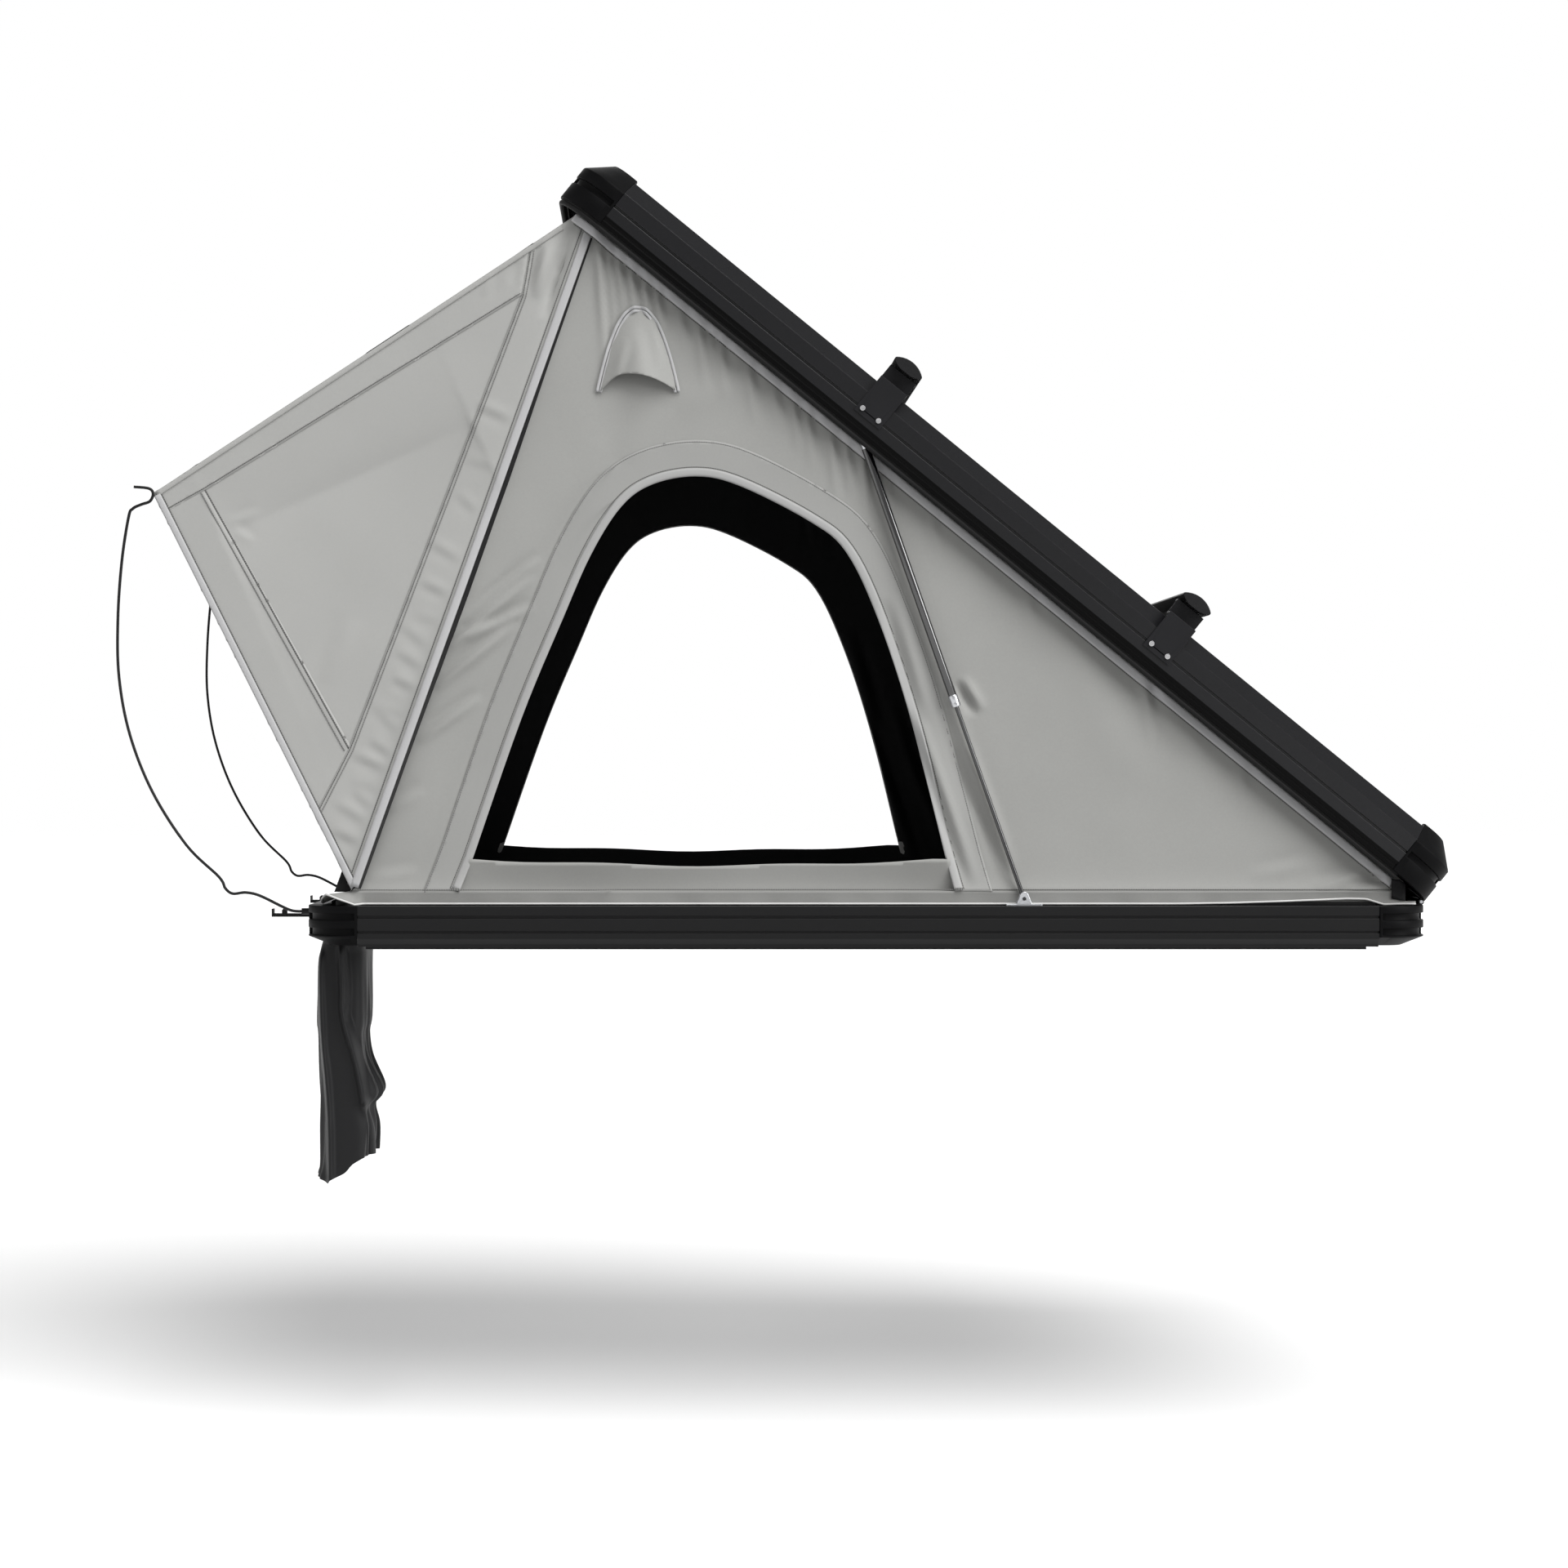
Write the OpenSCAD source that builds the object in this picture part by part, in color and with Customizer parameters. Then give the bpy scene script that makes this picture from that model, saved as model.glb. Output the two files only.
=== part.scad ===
// Hard-shell roof top tent: a wedge clamshell of extruded rails, hinged at the rear, held open by gas struts.
// Frame: X runs from the open front (-X) to the hinge (+X), Z is up, origin in the middle of the mounting plane.

/* [Overall] */
// Length of the base and of the lid
tent_l = 2100; // [1900:10:2400]
// Width across the side rails
tent_w = 1300; // [1150:10:1600]
// Angle of the open lid
open_angle = 39.2; // [34:0.1:42]
// Outer radius of the frame's corners, seen from above
corner_r = 85; // [75:1:100]
// Clearance left around soft pieces
soft_gap = 0.3; // [0.2:0.05:0.6]
// Radial clearance of a pin in its bore
pin_gap = 0.05; // [0.02:0.01:0.08]

/* [Base frame] */
// Height of the base rails' top above the mounting plane
base_h = 84; // [78:1:100]
// Height of the base rails' lower lip above the mounting plane
base_clear = 8; // [6:1:10]
// Wall thickness of the rails
rail_wall = 3.5; // [3:0.1:4]
// Height of the top band above the upper groove
base_top_band = 18; // [14:1:22]
// Height of the band between the two grooves
base_mid_band = 23; // [18:1:26]
// Width of a groove along the rails
groove_w = 5; // [4:0.5:6]
// Depth of a groove
groove_d = 5; // [3:0.5:6]
// Rise and run of the base rail's lower bevel
base_bevel = 11; // [8:1:13]
// Width of the base rail's top flange
flange_w = 40; // [38:1:42]
// Reach of the ledge that carries the floor
ledge_w = 50; // [46:1:56]
// Height of the floor's underside above the mounting plane
floor_z = 22; // [20:1:24]
// Thickness of the floor panel
floor_t = 16; // [12:1:20]

/* [Corner castings] */
// Straight leg of a casting beside its bend
cast_leg = 12; // [8:1:20]
// How far a casting stands proud of the rails
cast_proud = 1.5; // [0.5:0.5:3]
// Wall thickness of a casting
cast_wall = 12; // [10:1:14]
// Run of the slope under a base casting
cast_slope_w = 42; // [30:1:46]
// Rise of the slope under a base casting
cast_slope_h = 17; // [10:1:20]
// Rise of a lid casting above the roof panel
cast_rise = 7; // [4:1:10]
// Run of a lid casting's chamfer
cast_chamfer_w = 43; // [30:1:45]
// Rise of a lid casting's chamfer
cast_chamfer_h = 40; // [30:1:48]
// Height of a recessed pocket in a casting
pocket_h = 13; // [9:1:15]
// Depth of a recessed pocket
pocket_d = 6; // [4:0.5:8]
// Distance of a pocket's end from the end of its casting
pocket_end = 5; // [3:0.5:7]

/* [Lid frame] */
// Height of the lid from its lower edge to the roof panel
lid_h = 103; // [95:1:120]
// Gap between the closed lid and the base, filled by the seal and the hinge
seal_gap = 12; // [11:0.5:14]
// Run of the bevel along the lid's upper edge
bevel_w = 34; // [28:1:36]
// Rise of the bevel along the lid's upper edge
bevel_h = 31; // [26:1:36]
// Height of the lid's groove above its lower edge
lid_groove_v = 41.5; // [38:0.5:46]
// Width of the lid's lower lip
lip_w = 14; // [13:0.5:15]
// Thickness of the roof panel
panel_t = 4; // [3:0.5:5]
// Reach of the lid rail's top before the panel's rebate
panel_inset = 38; // [37:1:40]
// Width of the ledge under the roof panel
panel_seat = 22; // [20:1:26]
// Thickness of the headliner
liner_t = 12; // [8:1:16]
// Radius of the seal's bulb
seal_r = 5; // [4.5:0.1:5.2]

/* [Mounting rails] */
// Distance of a mounting rail's middle from the side of the tent
mount_rail_inset = 90; // [80:1:300]
// Width of a mounting rail
mount_rail_w = 40; // [34:1:44]
// Distance from a mounting rail's end to the end of the tent
mount_rail_end = 107; // [95:1:140]
// Width of the bolt slots
slot_w = 9; // [8.5:0.1:10.5]
// Distance from a bolt slot to the end of its rail
slot_end = 73; // [50:1:120]
// Length of the bridge between the front and rear slots
slot_bridge = 140; // [60:5:300]
// Width of the channel that holds the bolts' heads
channel_w = 19; // [16:1:22]

/* [Hinge] */
// Distance of the hinge pin from the rear of the tent
hinge_inset = 6; // [5.5:0.1:6.5]
// Length of the hinge
hinge_l = 1180; // [900:10:1190]
// Radius of the hinge's knuckles
knuckle_r = 5.5; // [5:0.1:5.5]
// Radius of the hinge pin
hinge_pin_r = 3; // [2:0.1:3.5]
// Number of knuckles, an odd number
knuckles = 13; // [9:2:17]
// Thickness of the hinge's leaves
leaf_t = 2; // [1.5:0.1:2.5]
// Width of the hinge's leaves
leaf_w = 34; // [28:1:36]

/* [Gas struts] */
// Distance of a strut's middle from the side of the tent
strut_inset = 28; // [27:0.5:29]
// Distance of the lower pivot behind the middle of the tent
strut_foot_x = 293; // [250:1:330]
// Height of the lower pivot above the base rail
strut_foot_h = 13; // [12:0.5:15]
// Distance of the upper pivot from the hinge, along the lid
strut_head_s = 1367; // [1340:1:1400]
// Height of the upper pivot above the lid's lower edge
strut_head_v = 2; // [1:0.5:4]
// Radius of the strut's tube
tube_r = 8; // [7.5:0.5:8]
// Radius of the strut's bore
tube_bore_r = 6.4; // [6:0.1:6.5]
// Length of the tube below the upper pivot
tube_l = 530; // [500:5:560]
// Radius of the strut's rod
rod_r = 4; // [3.5:0.5:4.5]
// Length of the rod above the lower pivot
rod_l = 450; // [420:5:470]
// Radius of a strut's end eye
eye_r = 7.5; // [7:0.5:8]
// Radius of the strut's pivot pins
strut_pin_r = 3; // [2.5:0.1:3.5]

/* [Load bars] */
// Distance of the front bar from the hinge, along the lid
front_bar_s = 1381; // [1300:1:1600]
// Distance of the rear bar from the hinge, along the lid
rear_bar_s = 687; // [500:1:800]
// Width of a bar
bar_w = 63; // [50:1:80]
// Height of a bar from its seat to its crown
bar_h = 24; // [20:1:32]
// Height of a bar's edges above its seat
bar_belly_h = 8; // [5:1:10]
// Height of a bar's upright edges
bar_side_h = 4.5; // [3:0.5:6]
// Width of the flat seat under a bar
bar_seat_w = 24; // [16:1:36]
// Wall thickness of a bar
bar_wall = 2.5; // [2:0.1:4]
// Height of a bar's underside above the roof panel
bar_rise = 40; // [30:1:60]
// Width of a bracket
bracket_w = 61; // [56:1:80]
// Thickness of a bracket's plate
bracket_t = 4; // [3:0.5:5]
// Distance between a bracket's two bolts
bolt_pitch = 38; // [30:1:44]
// Radius of a bracket bolt's shank
bolt_r = 2.4; // [2:0.1:2.4]

/* [Latches and awning sockets] */
// Distance of a latch from the middle of the front
latch_y = 350; // [200:10:450]
// Height of a latch's pivot above the mounting plane
latch_z = 58; // [54:1:62]
// Length of a latch's lever
lever_l = 84; // [70:1:95]
// Width of a latch's lever
lever_w = 26; // [22:1:34]
// Distance of the lever's catch bar from its pivot
catch_reach = 60; // [58:1:64]
// Radius of the pins and bars in a latch
latch_pin_r = 2.5; // [2:0.1:3]
// Distance of an awning rod's socket from the side of the tent
socket_inset = 114; // [112:1:200]
// Height of an awning rod's socket above the mounting plane
socket_z = 70; // [66:1:74]

/* [Fabric] */
// Thickness of the fabric panels
cloth_t = 3; // [2:0.5:4]
// Distance of a side wall's middle from the side of the tent
wall_inset = 45.5; // [45:0.1:46]
// Distance of a side wall's front foot from the front of the base
wall_foot = 77; // [60:1:110]
// Distance of a side wall's top from the front of the lid, along the lid
wall_head = 52; // [51:1:80]
// Distance of a side wall's rear end from the rear of the base
wall_rear = 42; // [40:1:60]
// Reach of the awning beyond the front of the base
awning_reach = 290; // [200:5:360]
// Height of the awning's front edge above the mounting plane
awning_h = 857; // [780:1:920]
// Distance of the window from the wall's front foot
window_in = 231; // [200:1:300]
// Height of the window's sill above the wall's foot
window_sill = 80; // [60:1:110]
// Width of the window
window_w = 892; // [600:1:900]
// Height of the window
window_h = 720; // [500:1:740]
// Distance of the vent behind the wall's top corner
vent_back = 104; // [100:1:200]
// Distance of the vent's top below the lid
vent_drop = 95; // [80:1:140]
// Width of the vent's hood
vent_w = 151; // [110:1:170]
// Height of the vent's hood
vent_h = 158; // [110:1:170]
// How far the hood stands out from the wall
vent_out = 34; // [20:1:38]
// Width of the door in the front wall
door_w = 840; // [600:10:900]
// Height of the door along the front wall
door_h = 860; // [600:10:900]
// Distance of the door's sill from the foot of the front wall
door_sill = 90; // [60:1:120]
// Radius of the door's upper corners
door_r = 220; // [100:5:280]
// Radius of the awning's spring rods
awning_rod_r = 2.75; // [2:0.25:3]
// Thickness of the mattress at its edge seam
mattress_h = 50; // [40:1:56]
// Crown of the mattress
mattress_crown = 6; // [3:1:8]
// Width of the shoe bag
bag_w = 260; // [180:5:320]
// Depth of the shoe bag, from front to back
bag_d = 88; // [60:1:110]
// Length of the shoe bag below the mounting plane
bag_h = 448; // [300:1:480]

/* [Hidden] */
$fn = 48;

black = "#1c1c1e";
silver = "#c4c6c9";
canvas = "#9e9e9a";
LEFT = -1;
RIGHT = 1;
half_l = tent_l / 2;
half_w = tent_w / 2;
overlap = 0.01;

// Closed lid and hinge axis
lid_z = base_h + seal_gap;
hinge_x = half_l - hinge_inset;
hinge_z = base_h + seal_gap / 2;
slope_c = cos(open_angle);
slope_s = sin(open_angle);
side_len = tent_l - 2 * (corner_r + cast_leg);
end_len = tent_w - 2 * (corner_r + cast_leg);

// A point of the open lid, at a distance s from the hinge along the lid and a height v above its lower edge
function lid_point(s, v) = [
    hinge_x - s * slope_c + (v + seal_gap / 2) * slope_s,
    hinge_z + s * slope_s + (v + seal_gap / 2) * slope_c
];
// The distance along the lid at which a line at height v stands over x
function lid_reach(x, v) = (hinge_x - x + (v + seal_gap / 2) * slope_s) / slope_c;

// Pieces of the lid are drawn closed and turned open about the hinge
module opened() {
    translate([hinge_x, 0, hinge_z])
        rotate([0, open_angle, 0])
            translate([-hinge_x, 0, -hinge_z])
                children();
}

// A straight stretch of a profile; x of the profile points out of the tent, towards the given heading
module stretch(length, reach, heading) {
    rotate([0, 0, heading])
        translate([reach, 0, 0])
            rotate([90, 0, 0])
                linear_extrude(length, center = true)
                    children();
}

// A profile turned through the corner at the given heading, counted in quarter turns from the rear right
module bend(quarter) {
    side_x = (quarter == 0 || quarter == 3) ? 1 : -1;
    side_y = (quarter < 2) ? 1 : -1;
    translate([side_x * (half_l - corner_r), side_y * (half_w - corner_r), 0])
        rotate([0, 0, quarter * 90])
            children();
}

module turned() {
    rotate_extrude(angle = 90, $fn = 96)
        translate([corner_r, 0])
            children();
}

// A straight leg beside a bend
module leg(length) {
    rotate([90, 0, 0])
        linear_extrude(length)
            translate([corner_r, 0])
                children();
}

// A profile turned through a corner, with a straight leg at each end
module wrapped(leg_l) {
    turned() children();
    leg(leg_l) children();
    mirror([1, -1, 0])
        leg(leg_l) children();
}

// A recessed pocket round the outside of a casting
module pocket(v) {
    wrapped(cast_leg - pocket_end)
        translate([-pocket_d, v - pocket_h / 2])
            square([pocket_d + 2 * cast_proud, pocket_h]);
}

// The outer edge of a groove in a rail's wall, listed downwards, and its inner edge, listed upwards
groove_side = 2;
function groove_out(v) = [
    [0, v + groove_w / 2],
    [-groove_d, v + groove_w / 2],
    [-groove_d, v - groove_w / 2],
    [0, v - groove_w / 2]
];
function groove_in(v) = [
    [-rail_wall, v - groove_w / 2 - groove_side],
    [-rail_wall - groove_d, v - groove_w / 2 - groove_side],
    [-rail_wall - groove_d, v + groove_w / 2 + groove_side],
    [-rail_wall, v + groove_w / 2 + groove_side]
];

// The underside of the castings and of the end rails slopes up towards the outside
cast_bottom = base_clear + 1;
function slope_v(u) = cast_bottom + cast_slope_h * (1 - (cast_proud - u) / cast_slope_w);
function slope_u(v) = cast_proud - cast_slope_w * (1 - (v - cast_bottom) / cast_slope_h);

// Base rail: a grooved wall with a top flange and a ledge for the floor, over a lower lip or a slope
upper_groove = base_h - base_top_band - groove_w / 2;
lower_groove = upper_groove - groove_w - base_mid_band;
lip_top = base_clear + 4;
ledge_bottom = floor_z - rail_wall;
floor_inset = cast_wall + 4;
side_foot = [
    [0, lip_top + base_bevel],
    [-base_bevel, lip_top],
    [-base_bevel, base_clear],
    [-base_bevel - rail_wall, base_clear],
    [-base_bevel - rail_wall, ledge_bottom],
    [-ledge_w, ledge_bottom],
    [-ledge_w, floor_z],
    [-rail_wall, floor_z]
];
end_foot = [
    [0, slope_v(0)],
    [slope_u(ledge_bottom), ledge_bottom],
    [-ledge_w, ledge_bottom],
    [-ledge_w, floor_z],
    [-floor_inset, floor_z],
    [-rail_wall, floor_z + slope_v(-rail_wall) - slope_v(-floor_inset)]
];
module base_profile(foot) {
    polygon(concat(
        [[-flange_w, base_h], [0, base_h]],
        groove_out(upper_groove),
        groove_out(lower_groove),
        foot,
        groove_in(lower_groove),
        groove_in(upper_groove),
        [[-rail_wall, base_h - rail_wall], [-flange_w, base_h - rail_wall]]
    ));
}

module base_cast_profile() {
    polygon([
        [-flange_w, base_h],
        [cast_proud, base_h],
        [cast_proud, slope_v(cast_proud)],
        [slope_u(cast_bottom), cast_bottom],
        [-ledge_w, cast_bottom],
        [-ledge_w, floor_z],
        [-cast_wall, floor_z],
        [-cast_wall, base_h - rail_wall],
        [-flange_w, base_h - rail_wall]
    ]);
}

// Lid rail: a channel open below, between a grooved, bevelled outer wall and the wall that holds the cloth
bevel_len = sqrt(bevel_w * bevel_w + bevel_h * bevel_h);
bevel_in_u = rail_wall * bevel_h / bevel_len;
bevel_in_v = rail_wall * bevel_w / bevel_len;
shoulder_v = lid_h - bevel_h;
seat_v = lid_h - panel_t;
channel_v = seat_v - rail_wall;
inner_wall_u = wall_inset - 1.5;
inner_wall_v = 12;
bead_v = 10;
bead_d = 1.4;
bead_w = 4;
function bevel_inside_u(v) = bevel_in_u + (v - shoulder_v + bevel_in_v) * bevel_w / bevel_h;
rear_lip_w = leaf_w + hinge_inset;
module lid_profile(lip) {
    polygon(concat(
        [
            [-lip, 0],
            [0, 0],
            [0, bead_v - bead_w / 2],
            [-bead_d, bead_v - bead_w / 2 + 1],
            [-bead_d, bead_v + bead_w / 2 - 1],
            [0, bead_v + bead_w / 2]
        ],
        [for (i = [3:-1:0]) groove_out(lid_groove_v)[i]],
        [
            [0, shoulder_v],
            [-bevel_w, lid_h],
            [-panel_inset, lid_h],
            [-panel_inset, seat_v],
            [-panel_inset - panel_seat, seat_v],
            [-panel_inset - panel_seat, channel_v],
            [-inner_wall_u - rail_wall, channel_v],
            [-inner_wall_u - rail_wall, inner_wall_v],
            [-inner_wall_u, inner_wall_v],
            [-inner_wall_u, channel_v],
            [-bevel_inside_u(channel_v), channel_v],
            [-rail_wall, shoulder_v - bevel_in_v]
        ],
        [for (i = [3:-1:0]) groove_in(lid_groove_v)[i]],
        [[-rail_wall, rail_wall], [-lip, rail_wall]]
    ));
}

module lid_cast_profile() {
    top = lid_h + cast_rise;
    over_panel = lid_h + soft_gap;
    polygon([
        [-lip_w, 0],
        [cast_proud, 0],
        [cast_proud, top - cast_chamfer_h],
        [cast_proud - cast_chamfer_w, top],
        [-panel_inset - panel_seat, top],
        [-panel_inset - panel_seat, over_panel],
        [-panel_inset, over_panel],
        [-panel_inset, seat_v],
        [-panel_inset - panel_seat, seat_v],
        [-panel_inset - panel_seat, channel_v],
        [-inner_wall_u - rail_wall, channel_v],
        [-inner_wall_u - rail_wall, inner_wall_v],
        [-inner_wall_u, inner_wall_v],
        [-inner_wall_u, channel_v],
        [-bevel_inside_u(channel_v) - cast_wall / 4, channel_v],
        [-cast_wall, shoulder_v - cast_wall / 2],
        [-cast_wall, rail_wall],
        [-lip_w, rail_wall]
    ]);
}

// A flat plate with round corners, set back from the tent's outline
module inset_plate(inset, thickness) {
    r = corner_r - inset;
    linear_extrude(thickness) {
        square([tent_l - 2 * corner_r, tent_w - 2 * inset], center = true);
        square([tent_l - 2 * inset, tent_w - 2 * corner_r], center = true);
        for (x = [-1, 1], y = [-1, 1])
            translate([x * (half_l - corner_r), y * (half_w - corner_r)])
                circle(r, $fn = 96);
    }
}

// Base frame
module base_rail(length, reach, heading, foot) {
    color(black)
        stretch(length, reach, heading) base_profile(foot);
}

module base_left_rail() {
    base_rail(side_len, half_w, -90, side_foot);
}

module base_right_rail() {
    base_rail(side_len, half_w, 90, side_foot);
}

module base_front_rail() {
    base_rail(end_len, half_l, 180, end_foot);
}

module base_rear_rail() {
    base_rail(end_len, half_l, 0, end_foot);
}

module base_corners() {
    color(black)
        for (quarter = [0:3])
            bend(quarter)
                difference() {
                    wrapped(cast_leg) base_cast_profile();
                    pocket(upper_groove);
                    pocket(lower_groove);
                }
}

module floor_panel() {
    color("#2a2a2c")
        translate([0, 0, floor_z])
            inset_plate(floor_inset, floor_t);
}

// Mounting rails: slotted channels under the floor for bolts with hammer heads
mount_rail_l = tent_l - 2 * mount_rail_end;
mount_lip = 5;
channel_h = 9;
slot_l = (mount_rail_l - slot_bridge) / 2 - slot_end;
slot_pitch = slot_l + slot_bridge;
module mounting_rail(side) {
    color(black)
        translate([0, side * (half_w - mount_rail_inset), 0])
            difference() {
                translate([-mount_rail_l / 2, -mount_rail_w / 2, 0])
                    cube([mount_rail_l, mount_rail_w, floor_z]);
                translate([-mount_rail_l / 2 - 1, -channel_w / 2, mount_lip])
                    cube([mount_rail_l + 2, channel_w, channel_h]);
                for (x = [-slot_pitch / 2, slot_pitch / 2])
                    translate([x, 0, -1])
                        bolt_slot(mount_lip + 2);
                for (end = [-1, 1])
                    translate([end * mount_rail_l / 2, 0, 0])
                        rotate([0, end * 45, 0])
                            translate([0, 0, -floor_z])
                                cube([floor_z, mount_rail_w + 2, floor_z], center = true);
            }
}

module bolt_slot(depth) {
    straight = slot_l - slot_w;
    linear_extrude(depth) {
        square([straight, slot_w], center = true);
        for (x = [-1, 1])
            translate([x * straight / 2, 0])
                circle(d = slot_w);
    }
}

module left_mounting_rail() {
    mounting_rail(LEFT);
}

module right_mounting_rail() {
    mounting_rail(RIGHT);
}

// Keder tracks: strips with a round channel that hold the cloth's corded edge
track_w = 8;
track_h = 10;
track_bore = 4.4;
track_slot = 2;
module track_profile() {
    difference() {
        translate([-track_w / 2, 0])
            square([track_w, track_h]);
        translate([0, track_h - track_bore])
            circle(d = track_bore);
        translate([-track_slot / 2, track_h - track_bore])
            square([track_slot, track_bore + 1]);
    }
}

track_inset = flange_w + track_w / 2;
track_top = base_h - rail_wall + track_h;
module base_keder_track() {
    color(black)
        for (heading = [-90, 90, 180]) {
            is_front = heading == 180;
            length = is_front ? end_len : side_len;
            stretch(length, (is_front ? half_l : half_w) - track_inset, heading)
                translate([0, base_h - rail_wall])
                    track_profile();
        }
}

module lid_keder_track() {
    hang = inner_wall_u + rail_wall / 2;
    color(black)
        opened()
            for (heading = [-90, 90, 180]) {
                is_front = heading == 180;
                length = is_front ? end_len : side_len;
                stretch(length, (is_front ? half_l : half_w) - hang, heading)
                    translate([0, lid_z + inner_wall_v])
                        mirror([0, 1])
                            track_profile();
            }
}

// Lid frame
module lid_rail(length, reach, heading, lip = lip_w) {
    color(black)
        opened()
            translate([0, 0, lid_z])
                stretch(length, reach, heading) lid_profile(lip);
}

module lid_left_rail() {
    lid_rail(side_len, half_w, -90);
}

module lid_right_rail() {
    lid_rail(side_len, half_w, 90);
}

module lid_front_rail() {
    lid_rail(end_len, half_l, 180);
}

module lid_rear_rail() {
    lid_rail(end_len, half_l, 0, rear_lip_w);
}

module lid_corners() {
    color(black)
        opened()
            translate([0, 0, lid_z])
                for (quarter = [0:3])
                    bend(quarter)
                        difference() {
                            wrapped(cast_leg) lid_cast_profile();
                            pocket(lid_groove_v);
                        }
}

module roof_panel() {
    color("#262628")
        opened()
            translate([0, 0, lid_z + seat_v])
                inset_plate(panel_inset + soft_gap, panel_t);
}

module headliner() {
    color("#2e2e30")
        opened()
            translate([0, 0, lid_z + seat_v - liner_t])
                inset_plate(panel_inset + panel_seat + soft_gap, liner_t);
}

// Seal: a bulb on a flat foot along the front and both sides of the lid's lower lip
seal_u = lip_w / 2;
seal_foot = 3;
module seal_profile() {
    translate([-seal_u, seal_r + soft_gap - seal_gap])
        circle(seal_r);
    translate([-seal_u - seal_r + 1, -seal_foot])
        square([2 * seal_r - 2, seal_foot]);
}

module lid_seal() {
    color("#101010")
        opened()
            translate([0, 0, lid_z]) {
                for (heading = [-90, 90])
                    stretch(tent_l - 2 * corner_r, half_w, heading) seal_profile();
                stretch(tent_w - 2 * corner_r, half_l, 180) seal_profile();
                for (quarter = [1, 2])
                    bend(quarter)
                        turned() seal_profile();
            }
}

// Hinge: knuckles by turns on the base leaf and the lid leaf, on one long pin
knuckle_pitch = hinge_l / knuckles;
knuckle_gap = 0.6;
leaf_relief = knuckle_r + 1;
pin_end = 2;
module knuckle_row(first, tab_z) {
    for (i = [first:2:knuckles - 1])
        translate([hinge_x, -hinge_l / 2 + (i + 0.5) * knuckle_pitch, hinge_z])
            difference() {
                union() {
                    rotate([90, 0, 0])
                        cylinder(h = knuckle_pitch - knuckle_gap, r = knuckle_r, center = true);
                    translate([-leaf_relief - overlap, -(knuckle_pitch - knuckle_gap) / 2, tab_z - hinge_z])
                        cube([leaf_relief, knuckle_pitch - knuckle_gap, leaf_t]);
                }
                rotate([90, 0, 0])
                    cylinder(h = knuckle_pitch + 1, r = hinge_pin_r + pin_gap, center = true);
            }
}

module hinge_base_leaf() {
    color(black) {
        translate([hinge_x - leaf_w, -hinge_l / 2, base_h])
            cube([leaf_w - leaf_relief, hinge_l, leaf_t]);
        knuckle_row(0, base_h);
    }
}

module hinge_lid_leaf() {
    color(black)
        opened() {
            translate([hinge_x - leaf_w, -hinge_l / 2, lid_z - leaf_t])
                cube([leaf_w - leaf_relief, hinge_l, leaf_t]);
            knuckle_row(1, lid_z - leaf_t);
        }
}

module hinge_pin() {
    color(silver)
        translate([hinge_x, 0, hinge_z])
            rotate([90, 0, 0])
                cylinder(h = hinge_l + 2 * pin_end, r = hinge_pin_r, center = true);
}

// Gas struts: a rod hinged on a bracket of the base slides in a tube that reaches a ball stud on the lid
strut_y = half_w - strut_inset;
foot_point = [strut_foot_x, base_h + strut_foot_h];
head_point = lid_point(strut_head_s, strut_head_v);
strut_run = head_point - foot_point;
strut_len = norm(strut_run);
strut_tilt = atan2(strut_run[0], strut_run[1]);
ear_t = 2.5;
ear_gap = 11;
ear_h = 26;
ear_foot = 32;
ear_round = 8.5;
foot_l = 67;
foot_t = 3;
eye_w = 9;
gland_l = 12;
piston_l = 15;
tube_end_l = 22;

module at_foot(side) {
    translate([foot_point[0], side * strut_y, foot_point[1]])
        rotate([0, strut_tilt, 0])
            children();
}

module ear_outline() {
    difference() {
        union() {
            polygon([
                [-ear_foot / 2, 0],
                [ear_foot / 2, 0],
                [ear_round, ear_h - ear_round],
                [-ear_round, ear_h - ear_round]
            ]);
            translate([0, ear_h - ear_round])
                circle(ear_round);
        }
        translate([0, strut_foot_h])
            circle(strut_pin_r + pin_gap);
    }
}

module strut_base_brackets() {
    color(silver)
        for (side = [LEFT, RIGHT])
            translate([strut_foot_x, side * strut_y, base_h]) {
                translate([-foot_l / 2, -ear_gap / 2 - ear_t, 0])
                    cube([foot_l, ear_gap + 2 * ear_t, foot_t]);
                for (ear = [-1, 1])
                    translate([0, ear * (ear_gap + ear_t) / 2, 0])
                        rotate([90, 0, 0])
                            linear_extrude(ear_t, center = true)
                                ear_outline();
            }
}

module strut_base_pins() {
    pin_l = ear_gap + 2 * (ear_t + pin_end);
    color(silver)
        for (side = [LEFT, RIGHT])
            translate([foot_point[0], side * strut_y, foot_point[1]])
                rotate([90, 0, 0])
                    cylinder(h = pin_l, r = strut_pin_r, center = true);
}

module strut_rod(side) {
    color(silver)
        at_foot(side)
            difference() {
                union() {
                    rotate([90, 0, 0])
                        cylinder(h = eye_w, r = eye_r, center = true);
                    cylinder(h = rod_l, r = rod_r);
                    translate([0, 0, rod_l - piston_l])
                        cylinder(h = piston_l, r = tube_bore_r - pin_gap);
                }
                rotate([90, 0, 0])
                    cylinder(h = eye_w + 2, r = strut_pin_r + pin_gap, center = true);
            }
}

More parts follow.
